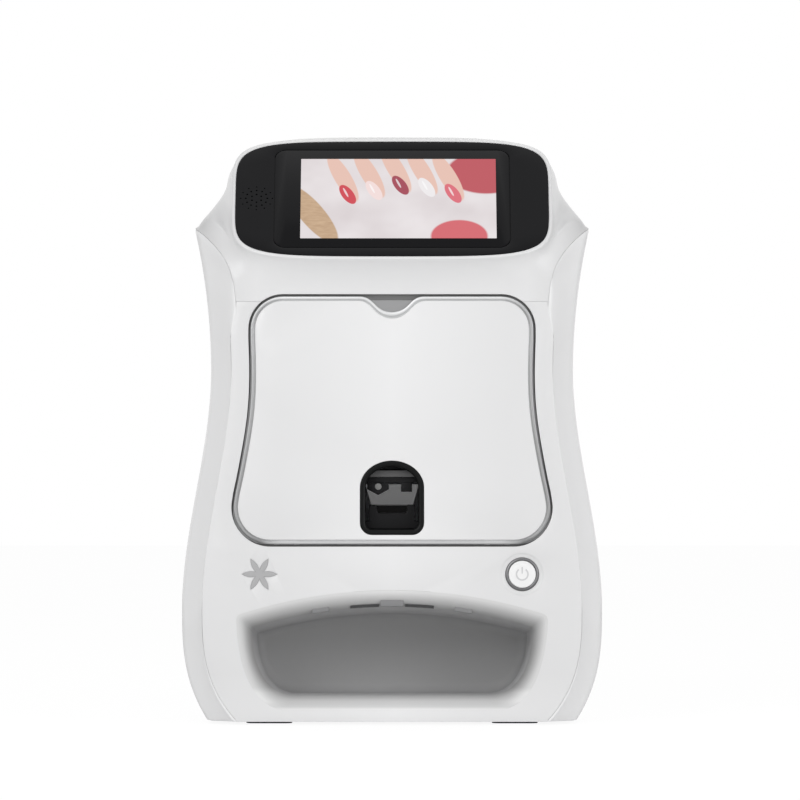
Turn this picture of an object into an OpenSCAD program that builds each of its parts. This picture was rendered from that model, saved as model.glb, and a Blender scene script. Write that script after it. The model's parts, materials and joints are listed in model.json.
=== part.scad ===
// A countertop digital nail art printer: a waisted moulded housing with a tilted touch screen on top, a fold-down
// front door with a finger window, a hand hollow below it, and a two-axis inkjet engine inside.
// Millimetres. +Z is up, the front faces -Y, and the origin is on the table under the centre of the housing.

/* [Housing] */
// Height of the feet under the housing
foot_h = 2.4; // [2:0.1:4]
// Width across the lower bulge
bulge_w = 329; // [324:1:336]
// Height of the lower bulge's widest line
bulge_z = 90; // [80:1:100]
// Width at the waist
waist_w = 284; // [280:1:290]
// Height of the waist
waist_z = 276; // [264:1:288]
// Width across the shoulder tips
shoulder_w = 308.8; // [305:0.2:312]
// Height of the shoulder tips
shoulder_z = 387.5; // [385:0.5:391]
// Width of the housing at its bottom edge
base_w = 284.5; // [279:0.5:290]
// Depth of the housing, front to back
body_d = 300; // [294:1:312]
// How far the front face leans back at the head seam
face_lean = 19; // [15:0.5:21]
// Width of the bevelled band beside the front face
band_w = 16.5; // [15:0.5:18]
// Depth of the bevelled band
band_d = 28; // [24:1:32]
// How much the side walls draw in towards the back
side_taper = 6; // [0:0.5:10]
// Radius of the rear corners, in plan
rear_r = 35; // [25:1:42]
// Wall of the moulded shells
wall = 3; // [2.6:0.1:3.4]
// Height of the seam under the head, at the front
seam_z = 329.6; // [328.6:0.1:330.6]
// Hairline gap between two shells
seam_gap = 0.3; // [0.2:0.05:0.5]

/* [Head and screen] */
// Lean of the screen from the vertical, in degrees
screen_tilt = 42; // [41:0.5:43]
// Height of the screen's centre
head_z = 411.1; // [410:0.1:412.5]
// Distance of the screen's centre behind the foot of the front face
head_in = 53; // [51:0.5:55]
// Width of the black bezel
bezel_w = 246; // [243:0.2:248]
// Height of the black bezel, along the slope
bezel_h = 125.6; // [124:0.2:127]
// Thickness of the black bezel
bezel_t = 3.2; // [2.8:0.1:3.8]
// White rim left around the bezel
rim_w = 3; // [2.4:0.1:3.6]
// Width of the touch panel
panel_w = 184.6; // [182:0.2:188]
// Height of the touch panel, along the slope
panel_h = 105.4; // [103:0.2:107]
// Width of the lit picture
picture_w = 153.6; // [148:0.2:158]
// Height of the lit picture
picture_h = 86.2; // [82:0.2:88]
// How far the picture sits right of the centre
picture_x = 5; // [0:0.5:6]
// How far the speaker holes sit left of the centre
speaker_x = 106.5; // [105.5:0.5:107.5]

/* [Door] */
// Height of the door opening's bottom edge
door_z = 138; // [137:0.2:139]
// Height of the door opening
door_h = 196; // [194.6:0.2:197]
// Distance of the door opening's sides from the face's edges
door_margin = 12.6; // [11.6:0.2:14]
// Radius of the door's lower corners
door_low_r = 28; // [24:1:30]
// Radius of the door's upper corners
door_top_r = 27; // [24:1:30]
// Gap around the door
door_gap = 1.8; // [1.6:0.1:2]
// Thickness of the door panel
door_t = 2.6; // [2.2:0.1:2.8]
// Thickness of the liner behind the door panel
liner_skin = 2.2; // [1.8:0.1:2.4]
// Width of the silver trim
trim_w = 4.6; // [3.8:0.2:5]
// Half width of the finger notch
notch_w = 16.6; // [15.6:0.2:18]
// Depth of the notch's point, before it is rounded
notch_d = 16.4; // [15.4:0.2:17.4]
// Radius of the hinge pins
hinge_pin_r = 0.55; // [0.5:0.01:0.6]
// Running clearance around pins and rods
run_gap = 0.05; // [0.03:0.01:0.08]

/* [Finger window] */
// Width of the window's bezel
window_w = 49.8; // [48:0.2:52]
// Height of the bezel's sill
window_z = 147.7; // [147.3:0.1:148.5]
// Height of the window's bezel
window_h = 57.6; // [56:0.2:59]
// Rise of the bezel's arch
arch_rise = 21; // [18:0.5:24]
// Radius of the bezel's lower corners
window_r = 9.2; // [8:0.2:11]
// Width of the bezel's rim, seen from the front
window_rim = 4.4; // [3.8:0.2:5]

/* [Hand hollow] */
// Half width of the hollow's mouth at its upper corners
mouth_top_w = 121; // [118:0.5:122]
// Half width of the hollow's mouth at its lower corners
mouth_low_w = 109; // [106:0.5:110]
// Height of the mouth's lower edge
mouth_z = 11.7; // [11:0.1:13]
// Height of the mouth's upper corners
mouth_corner_z = 87.4; // [85:0.2:89]
// Height of the mouth's crown
mouth_crown_z = 102.4; // [100:0.2:103]
// Width of the rounded lip
lip_w = 10; // [9:0.5:11]
// Depth of the rounded lip
lip_d = 13; // [11:0.5:15]
// Wall of the hollow's liner
liner_t = 2; // [1.6:0.1:2.4]
// Depth of the hollow behind the face
hollow_d = 124; // [112:1:130]

/* [Power button] */
// Distance of the button to the right of the centre
button_x = 101.4; // [100:0.2:103]
// Height of the button
button_z = 117; // [116.4:0.2:117.6]
// Radius of the button cap
button_r = 10.6; // [10:0.1:11]
// Travel of the button
button_travel = 1.5; // [1:0.1:1.8]
// Distance of the ornament to the left of the centre
ornament_x = 103.2; // [102:0.2:104]
// Radius of the ornament
ornament_r = 12.8; // [11:0.2:13.6]

/* [Print engine] */
// Distance of the cross rods behind the foot of the front face
gantry_in = 102; // [100:0.5:104]
// Travel of the gantry to each side of its middle place
gantry_travel = 14; // [10:0.5:15]
// Travel of the carriage to each side of its middle place
carriage_travel = 48; // [40:1:50]
// Radius of the steel rods
rod_r = 4; // [3.6:0.1:4.3]
// Distance of the side rails from the centre
rail_x = 88; // [87:0.5:89]
// Height of the side rails
rail_z = 249; // [247:0.5:251]
// Half the distance between the two cross rods
rod_half = 13; // [12.5:0.5:14]
// Half width of the carriage
carriage_w = 24; // [22:0.5:25]
// Radius of the belt pulleys
pulley_r = 6.1; // [5.8:0.1:6.4]
// Radius of the lead screw
screw_r = 4; // [3.6:0.1:4.2]
// Distance of the lead screw to the left of the centre
screw_x = 68; // [64:0.5:70]
// Size of the stepper motors
motor_w = 28; // [26:0.5:28.5]
// Thickness of the sheet metal frames
sheet_t = 1.5; // [1.2:0.1:2]

/* [Hidden] */
$fn = 40;
eps = 0.01;
lean_a = atan(face_lean / (seam_z - foot_h));
face_h = (seam_z - foot_h) / cos(lean_a);
band_foot = 5.5;
band_neck = 6.5;
neck_run = 30;
rise_z = seam_z + 14.4;
rear_drop = 2;
door_top_z = door_z + door_h;
front_y = -body_d / 2;
rear_y = body_d / 2;
head_y = -front_y - head_in;
gantry_y = -front_y - gantry_in;
panel_gap = 0.3;

// ---- Shared functions ----

function smooth(t) = let (c = min(1, max(0, t))) c * c * (3 - 2 * c);
function lerp(a, b, t) = a + (b - a) * t;
function unit(v) = v / norm(v);
function mirrored(pts) = concat(pts, [for (i = [len(pts) - 1 : -1 : 0]) [-pts[i].x, pts[i].y]]);

// The points of one corner b of a polygon, rounded to radius r by n chords
function round_corner(a, b, c, r, n) =
    r <= 0 ? [b] :
    let (u = unit(a - b), v = unit(c - b), half = acos(u * v) / 2,
         centre = b + unit(u + v) * r / sin(half), p = b + u * r / tan(half) - centre,
         q = b + v * r / tan(half) - centre, p_a = atan2(p.y, p.x), turn = atan2(q.y, q.x) - p_a,
         sweep = turn > 180 ? turn - 360 : turn < -180 ? turn + 360 : turn)
    [for (i = [0 : n]) centre + r * [cos(p_a + sweep * i / n), sin(p_a + sweep * i / n)]];

// A polygon whose corners are given as [x, y, radius]
function rounded(pts, n = 6) =
    let (m = len(pts), flat = [for (p = pts) [p.x, p.y]])
    [for (i = [0 : m - 1]) each round_corner(flat[(i + m - 1) % m], flat[i], flat[(i + 1) % m], pts[i].z, n)];

// A closed skin over rows of points. Each row is a closed loop; the ends are capped, or joined if wrap is true.
// A strip cap joins point j to its partner at the loop's other end, for rows that run out along one face and back.
module skin(rows, wrap = false, strip = false) {
    m = len(rows);
    n = len(rows[0]);
    sides = [for (i = [0 : m - (wrap ? 1 : 2)], j = [0 : n - 1])
        let (a = i * n + j, b = i * n + (j + 1) % n, c = (i + 1) % m * n + (j + 1) % n, d = (i + 1) % m * n + j)
        each [[a, b, c], [a, c, d]]];
    last = (m - 1) * n;
    caps = wrap ? [] :
        strip ? [for (j = [0 : n / 2 - 2]) let (k = n - 1 - j)
            each [[j + 1, j, k], [j + 1, k, k - 1],
                  [last + j, last + j + 1, last + k], [last + j + 1, last + k - 1, last + k]]] :
        [[for (j = [n - 1 : -1 : 0]) j], [for (j = [0 : n - 1]) last + j]];
    polyhedron([for (row = rows) each row], concat(sides, caps), convexity = 8);
}

// ---- Housing form ----

// Half width of the silhouette at height z
function side_w(z) =
    z < bulge_z ? bulge_w / 2 - (bulge_w - base_w) / 2 * pow((bulge_z - z) / (bulge_z - foot_h), 2.7) :
    z < waist_z ? bulge_w / 2 - (bulge_w - waist_w) / 2 * smooth((z - bulge_z) / (waist_z - bulge_z)) :
    waist_w / 2 + (shoulder_w - waist_w) / 2 * pow((z - waist_z) / (shoulder_z - waist_z), 2);

// Half width of the front face at height z: the silhouette less the band, which widens at the foot and the neck
function face_w(z) =
    side_w(z) - band_w - band_foot * pow(max(0, bulge_z - z) / (bulge_z - foot_h), 4)
    - band_neck * smooth((z - seam_z + neck_run) / neck_run);

function face_y(z) = front_y + (z - foot_h) * tan(lean_a);

bevel_steps = [0, 0.05, 0.14, 0.3, 0.5, 0.75, 1];
round_n = 3;
side_n = 2;
corner_n = 6;
bevel_n = len(bevel_steps);
plan_n = bevel_n + round_n + side_n + corner_n;
edge_round = 2.6;

// Plan of the right-hand shell at height z, from the crease by the front face round to the rear panel
function shell_plan(z) =
    let (w = side_w(z), f = face_w(z), y0 = face_y(z), k = [w - edge_round, y0 + 0.72 * band_d],
         ctrl = k + (k - [f, y0]) * edge_round / (k.x - f), e = [w, y0 + band_d + 2],
         r0 = [w - side_taper, rear_y - rear_r], hub = r0 - [rear_r, 0])
    concat(
        [for (t = bevel_steps) lerp([f, y0], k, t)],
        [for (i = [1 : round_n]) let (t = i / round_n) lerp(lerp(k, ctrl, t), lerp(ctrl, e, t), t)],
        [for (i = [1 : side_n]) lerp(e, r0, i / side_n)],
        [for (i = [1 : corner_n]) hub + rear_r * [cos(90 * i / corner_n), sin(90 * i / corner_n)]]);

// The same plan moved in by a wall, with both ends left square to the plates that they meet
function inner_plan(z, t) =
    let (p = shell_plan(z), n = len(p), d = unit(p[bevel_n - 1] - p[0]), k = p[bevel_n - 1] + t * [-d.y, d.x])
    [for (j = [0 : n - 1])
        let (s = j == n - 1 ? [-1, 0] : unit(p[min(n - 1, j + 1)] - p[max(0, j - 1)]))
        j < bevel_n ? lerp(p[0] + [0, t / d.x], k, bevel_steps[j]) : p[j] + t * [-s.y, s.x]];

// Height of the shell's top edge at plan point j: it rises from the neck to the shoulder tip, then falls slightly
function shell_top(j) =
    j < bevel_n ? rise_z + (shoulder_z - rise_z) * 0.94 * pow(bevel_steps[j], 0.55) :
    j < bevel_n + round_n ? lerp(rise_z + (shoulder_z - rise_z) * 0.94, shoulder_z, (j - bevel_n + 1) / round_n) :
    shoulder_z - rear_drop * min(1, (j - bevel_n - round_n + 1) / (side_n + 1));

rear_z = shoulder_z - rear_drop;
rows_n = 20;

module side_shell() {
    outer_x = [for (i = [0 : rows_n]) [for (j = [0 : plan_n - 1])
        let (z = lerp(foot_h, shell_top(j), i / rows_n), p = shell_plan(z)[j]) [p.x, p.y, z]]];
    inner_x = [for (i = [0 : rows_n]) [for (j = [0 : plan_n - 1])
        let (z = lerp(foot_h, shell_top(j), i / rows_n), p = inner_plan(z, wall)[j]) [p.x, p.y, z]]];
    skin([for (i = [0 : rows_n]) concat(outer_x[i], [for (j = [plan_n - 1 : -1 : 0]) inner_x[i][j]])], strip = true);
}

module side_panel_left() color("gainsboro") mirror([1, 0, 0]) side_shell();
module side_panel_right() color("gainsboro") side_shell();

// ---- Head ----

// A point of the screen's rounded outline, o outside the bezel and d behind the glass face
shape_n = 5.3;
function sgn_pow(v, e) = sign(v) * pow(abs(v), e);
function rim_xz(a, o) =
    [(bezel_w / 2 + o) * sgn_pow(cos(a), 2 / shape_n), (bezel_h / 2 + o) * sgn_pow(sin(a), 2 / shape_n)];
function on_screen(x, d, up) =
    [x, -head_y + d * cos(screen_tilt) + up * sin(screen_tilt),
     head_z - d * sin(screen_tilt) + up * cos(screen_tilt)];
function rim_point(a, o, d) =
    let (q = rim_xz(a, o)) on_screen(q.x, d, q.y);
function rim_out(a) =
    let (n = unit([sgn_pow(cos(a), 2 - 2 / shape_n) / bezel_w, sgn_pow(sin(a), 2 - 2 / shape_n) / bezel_h]))
    [n.x, n.y * sin(screen_tilt), n.y * cos(screen_tilt)];
screen_in = [0, cos(screen_tilt), -sin(screen_tilt)];

// The lower edge of the head, from the front's centre to the rear's centre: [point, rim angle, end direction]
front_share = 0.84;
rear_share = 0.8;
rim_e = shape_n / 2;
front_a = -acos(pow(front_share, rim_e));
rear_a = acos(pow(rear_share, rim_e));
face_down = [0, -sin(lean_a), -cos(lean_a)];
door_edge_x = door_x(door_top_z - door_top_r) - door_top_r;
arc_cut = asin((seam_z - door_top_z + door_top_r) / door_top_r);

function door_x(z) = face_w(min(z, seam_z - neck_run)) - door_margin;
function front_entry(x, z, flare) =
    [[x, face_y(z), z], -acos(pow(front_share * x / face_w(seam_z), rim_e)), unit(face_down + flare * [0.8, 0, 0])];

// How strongly the skin is drawn towards the shoulder at plan point j, strongest at the tip
tip_pull = 2.2;
tip_j = bevel_n + round_n - 1;
function pull(j) = lerp(1, tip_pull, smooth(j < tip_j ? j / tip_j : 1 - (j - tip_j) / side_n));
function head_edge(in) =
    let (w = face_w(seam_z), top = door_top_z + seam_gap)
    concat(
        [for (t = [0.001, 0.25, 0.5, 0.75]) front_entry(door_edge_x * t, top, 0)],
        [for (i = [0 : 3]) let (a = lerp(90, arc_cut, i / 3))
            front_entry(door_edge_x + door_top_r * cos(a), door_top_z - door_top_r * (1 - sin(a)) + seam_gap, 0)],
        [front_entry(lerp(door_edge_x + door_top_r * cos(arc_cut), w, 0.6), seam_z + seam_gap, 0.35)],
        [for (i = [0 : 2]) let (z = lerp(seam_z, rise_z, i / 3) + seam_gap)
            [[face_w(z), face_y(z), z], front_a + 5 * i / 3, unit([0.8, 0, -0.6])]],
        [for (j = [0 : plan_n - 1])
            let (z = shell_top(j) + seam_gap, p = in > 0 ? inner_plan(z, in)[j] : shell_plan(z)[j],
                 band_end = bevel_n + round_n - 1, side_end = band_end + side_n,
                 a = j <= band_end ? lerp(front_a + 5, -8, j / band_end) :
                     j <= side_end ? lerp(-8, 30, (j - band_end) / side_n) :
                     lerp(30, rear_a, (j - side_end) / corner_n),
                 back = max(0, j - side_end) / corner_n,
                 flare = lerp(0.8, 0.38, smooth(j / band_end)))
            [[p.x, p.y, z], a, pull(j) * unit([flare * cos(90 * back), flare * sin(90 * back), -0.75])]],
        [for (t = [0.75, 0.5, 0.25, 0.001])
            let (x = t * (side_w(rear_z) - side_taper - rear_r))
            [[x, rear_y - in, rear_z + seam_gap], acos(pow(rear_share * t, rim_e)), unit([0, 0.5, -0.75])]]);

// One curve of the head's skin, from the rim to the lower edge
loft_n = 7;
rim_rise = 0.5;
function head_curve(e, o, d, in, k) =
    let (a = e[1], p0 = rim_point(a, o, d), shift = e[0].y < 0 && k ? [0, in, 0] : [0, 0, 0], p1 = e[0] + shift,
         reach = norm(p1 - p0), beside = smooth((a + 30) / 30), crown = smooth(a / 70),
         lift = 0.1 + 0.3 * beside * min(1, 50 / reach) + 0.55 * crown,
         t0 = reach * (0.9 + 0.2 * beside) * unit(rim_out(a) * lift + screen_in * (1 - 0.45 * crown)),
         t1 = reach * (a < 0 ? 1.1 : lerp(1.1, 0.6, smooth(a / 60))) * e[2])
    [for (i = [0 : loft_n]) let (t = i / loft_n)
        p0 * (1 + 2 * t) * (1 - t) * (1 - t) + t0 * t * (1 - t) * (1 - t)
        + p1 * t * t * (3 - 2 * t) - t1 * t * t * (1 - t)];

// The head's section: out over the rim, down the skin, back up inside the wall and round the glass ledge
ledge_w = 2.5;
function head_profile(k) =
    let (outer = head_edge(0)[k], inner = head_edge(wall)[k], a = outer[1], front = k < 12)
    concat(
        [rim_point(a, seam_gap, 0), rim_point(a, rim_w * 0.5, -rim_rise)],
        head_curve(outer, rim_w, 0.6, 0, false),
        [for (i = [loft_n : -1 : 0]) head_curve(inner, rim_w - wall * 0.8, wall + 3.4, wall, front)[i]],
        [rim_point(a, -ledge_w, bezel_t + 3), rim_point(a, -ledge_w, bezel_t + 0.1),
         rim_point(a, seam_gap, bezel_t + 0.1)]);

module top_cover() {
    half = [for (k = [0 : len(head_edge(0)) - 1]) head_profile(k)];
    n = len(half);
    color("whitesmoke")
    skin(concat(half, [for (k = [n - 1 : -1 : 0]) [for (p = half[k]) [-p.x, p.y, p.z]]]), wrap = true);
}

// ---- Front ----

// Places on the leaning front face: x to the right, y into the housing, z along the slope
function up(z) = (z - foot_h) / cos(lean_a);
module on_face() translate([0, front_y, foot_h]) rotate([-lean_a, 0, 0]) children();
module face_prism(pts, y0, y1)
    on_face() translate([0, y1, 0]) rotate([90, 0, 0])
        linear_extrude(y1 - y0) polygon([for (p = pts) [p.x, up(p.y)]]);
module face_rod(x, z, r, y0, y1)
    on_face() translate([x, y1, up(z)]) rotate([90, 0, 0]) cylinder(r = r, h = y1 - y0);
module face_box(x0, x1, z0, z1, y0, y1)
    on_face() translate([x0, y0, up(z0)]) cube([x1 - x0, y1 - y0, up(z1) - up(z0)]);

function face_outline(z0, z1, in, n = 26) =
    mirrored([for (i = [0 : n]) let (z = lerp(z0, z1, i / n)) [face_w(z) - in, z]]);

// The door opening moved in by `in`; the finger notch starts where the door itself starts
notch_slope = atan(notch_d / notch_w);
notch_top_r = 6.8;
notch_low_r = 13;
function door_half(in) =
    let (z0 = door_z + in, z1 = door_top_z - in, r0 = max(1, door_low_r - in), r1 = max(1, door_top_r - in),
         low = z0 + 1.4 * r0, high = z1 - 1.15 * r1)
    concat([[door_x(z0) - in, z0, r0]],
           [for (i = [0 : 9]) let (z = lerp(low, high, i / 9)) [door_x(z) - in, z, 0]],
           [[door_x(z1) - in, z1, r1]]);
function door_outline(in, notched = true) =
    let (half = door_half(in), n = max(0, in - door_gap), z1 = door_top_z - in, last = len(half) - 1,
         notch = notched ? [[notch_w + n * tan(notch_slope / 2), z1, notch_top_r],
                            [0, door_top_z - door_gap - notch_d - n / cos(notch_slope), notch_low_r]] : [])
    rounded(concat(half, notch, notched ? [[-notch[0].x, z1, notch_top_r]] : [],
                   [for (i = [last : -1 : 0]) [-half[i].x, half[i].y, half[i].z]]));

// The mouth of the hand hollow moved in by o
crown_n = 8;
function mouth(o) =
    let (tw = mouth_top_w - o, lw = mouth_low_w - o, cz = mouth_corner_z - o, z0 = mouth_z + o,
         crown = mouth_crown_z - o, rise = crown - cz, arc_r = (tw * tw + rise * rise) / (2 * rise))
    rounded(concat(
        [[-lw, z0, max(6, 22 - o / 2)], [lw, z0, max(6, 22 - o / 2)], [tw, cz, 9]],
        [for (i = [1 : crown_n - 1]) let (x = tw * (1 - 2 * i / crown_n))
            [x, crown - arc_r + sqrt(arc_r * arc_r - x * x), 0]],
        [[-tw, cz, 9]]));
function on_face_point(x, y, z) =
    [x, front_y + y * cos(lean_a) + up(z) * sin(lean_a), foot_h - y * sin(lean_a) + up(z) * cos(lean_a)];

// The hinge axis lies just behind the outer face, so that the door's round lower corners swing clear of the frame
skin_t = 0.5;
knuckle_r = 0.9;
hinge_y = skin_t + knuckle_r + 0.1;
hinge_z = door_z + door_gap + 1.3;
hinge_x = 82;
knuckle_w = 10;
arm_w = 4.5;
function arm_x(s, e) = s * hinge_x + e * (knuckle_w + arm_w + 1) / 2;
flange_y = door_t + liner_skin + 0.9;
flange_d = 2.6;
flange_w = 6;
boss_x = 19;
board_y = 12;
screw_z = [34, 300];

// A rod along the door's axis, for pins, bores and knuckles
module hinge_rod(x0, x1, r)
    on_face() translate([x0, hinge_y, up(hinge_z)]) rotate([0, 90, 0]) cylinder(r = r, h = x1 - x0);

// Six lens-shaped petals, each between two arcs of the ornament's radius
module petals(t0, t1, grow)
    for (i = [0 : 5])
        on_face() translate([-ornament_x, t1, up(button_z)]) rotate([90, 0, 0]) rotate(60 * i)
            intersection_for(s = [-1, 1])
                translate([ornament_r / 2, s * ornament_r * sin(60), 0]) cylinder(r = ornament_r + grow, h = t1 - t0);

// Walls and flange that the door closes into
module door_surround()
    difference() {
        intersection() {
            face_prism(door_outline(-wall, false), wall - eps, flange_y + flange_d);
            union() {
                face_box(-face_w(door_z), face_w(door_z), door_z - 9, seam_z, 0, flange_y + flange_d + eps);
                face_box(-door_x(seam_z), door_x(seam_z), seam_z - 1, door_top_z + 1.6, flange_y,
                         flange_y + flange_d + eps);
            }
        }
        face_prism(door_outline(0, false), 0, flange_y);
        face_prism(door_outline(flange_w, false), 0, flange_y + flange_d + eps);
    }

module front_frame() color("whitesmoke")
    difference() {
        union() {
            difference() {
                face_prism(face_outline(foot_h, seam_z, panel_gap), 0, wall);
                face_prism(door_outline(0, false), -1, wall + eps);
                face_prism(door_outline(-0.6, false), -1, 0.6);
            }
            door_surround();
            // Arms that reach forward to the hinge pins
            for (s = [-1, 1], e = [-1, 1]) {
                a = arm_x(s, e);
                face_box(a - arm_w / 2, a + arm_w / 2, hinge_z - 0.8, hinge_z + 0.8, hinge_y, flange_y + 1);
                hinge_rod(a - arm_w / 2, a + arm_w / 2, knuckle_r);
            }
            for (e = [-1, 1]) face_rod(button_x + e * boss_x, button_z, 2.6, wall - eps, board_y);
            for (s = [-1, 1], z = screw_z) face_rod(s * (face_w(z) - 6), z, 4, wall - eps, wall + 9);
        }
        face_prism(mouth(-0.2), -1, wall + 1);
        face_rod(button_x, button_z, button_r + 2.6, -1, wall + 1);
        face_rod(button_x, button_z, button_r + 5.8, -1, 0.5);
        petals(-1, 0.6, -0.2);
        for (s = [-1, 1]) hinge_rod(s * hinge_x - knuckle_w - 5, s * hinge_x + knuckle_w + 5, hinge_pin_r);
    }

module ornament() color("lightgray") petals(0.1, 0.6, -0.3);

// The rounded lip of the hand hollow: each point of the mouth carries one closed section
roll_n = 4;
module hollow_lip() {
    around = [for (i = [0 : roll_n]) let (a = 90 * i / roll_n) [lip_w * sin(a), lip_d * (1 - cos(a))]];
    behind = [for (i = [roll_n : -1 : 0]) let (a = 90 * i / roll_n)
        [(lip_w - liner_t) * sin(a), wall + (lip_d - wall) * (1 - cos(a))]];
    rings = [for (s = concat(around, behind)) [for (p = mouth(s.x)) on_face_point(p.x, s.y, p.y)]];
    color("whitesmoke") skin(rings, wrap = true);
}

module hand_liner() {
    steps = [[lip_d + 0.2, 0], [hollow_d * 0.55, 3], [hollow_d - 16, 7], [hollow_d - 5, 11], [hollow_d - 1, 18]];
    last = len(steps) - 1;
    outer = [for (i = [last : -1 : 0])
        [for (p = mouth(lip_w - liner_t + steps[i].y)) on_face_point(p.x, steps[i].x + (i > 0 ? liner_t : 0), p.y)]];
    inner = [for (i = [0 : last]) [for (p = mouth(lip_w + steps[i].y)) on_face_point(p.x, steps[i].x, p.y)]];
    color("gray") skin(concat(outer, inner));
}

// ---- Power button ----

module button_ring() color("silver")
    difference() {
        face_rod(button_x, button_z, button_r + 2.5, -0.5, wall + 2);
        face_rod(button_x, button_z, button_r + panel_gap, -1, wall + 3);
    }
cap_back = wall + 1.4;
stem_end = cap_back + 3.4;
module button_cap() color("white") {
    face_rod(button_x, button_z, button_r, -0.6, cap_back);
    face_rod(button_x, button_z, 3, cap_back - eps, stem_end);
}
module button_board() color("darkgreen") {
    face_box(button_x - boss_x - 4, button_x + boss_x + 4, button_z - 10, button_z + 10, board_y, board_y + 1.6);
    face_rod(button_x, button_z, 2.6, stem_end + button_travel + 0.2, board_y + eps);
}

// The coil that returns the cap, seated on the board and drawn at its pressed length
coil_turns = 4;
coil_steps = 8;
module button_spring() {
    wire_r = 0.4;
    r = 5.2;
    y0 = cap_back + button_travel + 0.3 + wire_r;
    y1 = board_y - wire_r;
    rings = [for (i = [0 : coil_turns * coil_steps])
        let (a = 360 * i / coil_steps, y = lerp(y0, y1, i / coil_turns / coil_steps), c = [cos(a), sin(a)])
        [for (j = [0 : 5]) let (b = -60 * j, q = c * (r + wire_r * cos(b)))
            on_face_point(button_x + q.x, y + wire_r * sin(b), button_z + q.y)]];
    color("silver") skin(rings);
}

// ---- Door ----

// Room behind the door's front skin for the arms and, where deep is true, for the liner's knuckle too
module hinge_pocket(deep)
    for (s = [-1, 1])
        if (deep) face_box(arm_x(s, -1) - arm_w / 2 - 0.5, arm_x(s, 1) + arm_w / 2 + 0.5, door_z, hinge_z + 1.4,
                           skin_t, door_t + liner_skin + 2);
        else for (e = [-1, 1])
            face_box(arm_x(s, e) - arm_w / 2 - 0.5, arm_x(s, e) + arm_w / 2 + 0.5, door_z - 1, hinge_z + 1.4,
                     skin_t, door_t + liner_skin + 2);

// The trim's outer edge is stepped back, so that the low corners clear the frame as the door swings
trim_step = 0.6;
module door_trim() color("silver")
    difference() {
        union() {
            face_prism(door_outline(door_gap + trim_step), 0, trim_step);
            face_prism(door_outline(door_gap), trim_step - eps, door_t);
        }
        face_prism(door_outline(door_gap + trim_w), -1, door_t + 1);
        hinge_pocket(true);
    }

// The window's outline moved in by `in`
function window_outline(in) =
    let (w = window_w / 2 - in, z0 = window_z + in, top = window_z + window_h - in, spring_z = top - arch_rise + in,
         rise = top - spring_z)
    concat(rounded([[-w, z0 + window_r * 2, 0], [-w, z0, max(1, window_r - in)], [w, z0, max(1, window_r - in)],
                    [w, z0 + window_r * 2, 0]]),
           [for (i = [0 : 16]) let (a = 180 * i / 16) [w * cos(a), spring_z + rise * sin(a)]]);

module door_panel() color("white")
    difference() {
        face_prism(door_outline(door_gap + trim_w + 0.15), 0.1, door_t);
        face_prism(window_outline(-0.15), -1, door_t + 1);
    }

module window_bezel() color("black")
    difference() {
        union() {
            face_prism(window_outline(0), 0.05, door_t);
            face_prism(window_outline(window_rim - 1.6), door_t - eps, door_t + liner_skin);
        }
        face_prism(window_outline(window_rim), -1, door_t + 5);
    }

magnet_x = 62;
magnet_z = door_top_z - flange_w - 0.4;
module door_liner() color("lightgray")
    difference() {
        union() {
            face_prism(door_outline(door_gap + 0.6, false), door_t, door_t + liner_skin);
            for (s = [-1, 1]) {
                hinge_rod(s * hinge_x - knuckle_w / 2, s * hinge_x + knuckle_w / 2, knuckle_r);
                face_box(s * hinge_x - knuckle_w / 2, s * hinge_x + knuckle_w / 2, hinge_z - knuckle_r,
                         hinge_z + knuckle_r, hinge_y, door_t + eps);
            }
        }
        face_prism(window_outline(window_rim - 1.75), -1, door_t + 5);
        hinge_pocket(false);
        for (s = [-1, 1]) {
            hinge_rod(s * hinge_x - knuckle_w, s * hinge_x + knuckle_w, hinge_pin_r + run_gap);
            face_rod(s * magnet_x, magnet_z, 2.5, door_t + 0.4, door_t + 4);
        }
    }

module door_magnets() color("dimgray")
    for (s = [-1, 1]) face_rod(s * magnet_x, magnet_z, 2.5, door_t + 0.4, flange_y - 0.2);

module hinge_pins() color("silver")
    for (s = [-1, 1]) hinge_rod(arm_x(s, -1) - arm_w / 2, arm_x(s, 1) + arm_w / 2, hinge_pin_r);

// ---- Screen ----

module screen_prism(pts, d0, d1)
    translate([0, -head_y, head_z]) rotate([-screen_tilt, 0, 0]) translate([0, d1, 0]) rotate([90, 0, 0])
        linear_extrude(d1 - d0) polygon(pts);
module screen_rod(x, up_z, r, d0, d1)
    translate([0, -head_y, head_z]) rotate([-screen_tilt, 0, 0]) translate([x, d1, up_z]) rotate([90, 0, 0])
        cylinder(r = r, h = d1 - d0);
function screen_outline(o) = mirrored([for (e = head_edge(0)) rim_xz(e[1], o)]);
function plate(w, h, r, x = 0, y = 0) =
    rounded([[x - w / 2, y - h / 2, r], [x + w / 2, y - h / 2, r],
             [x + w / 2, y + h / 2, r], [x - w / 2, y + h / 2, r]]);

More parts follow.
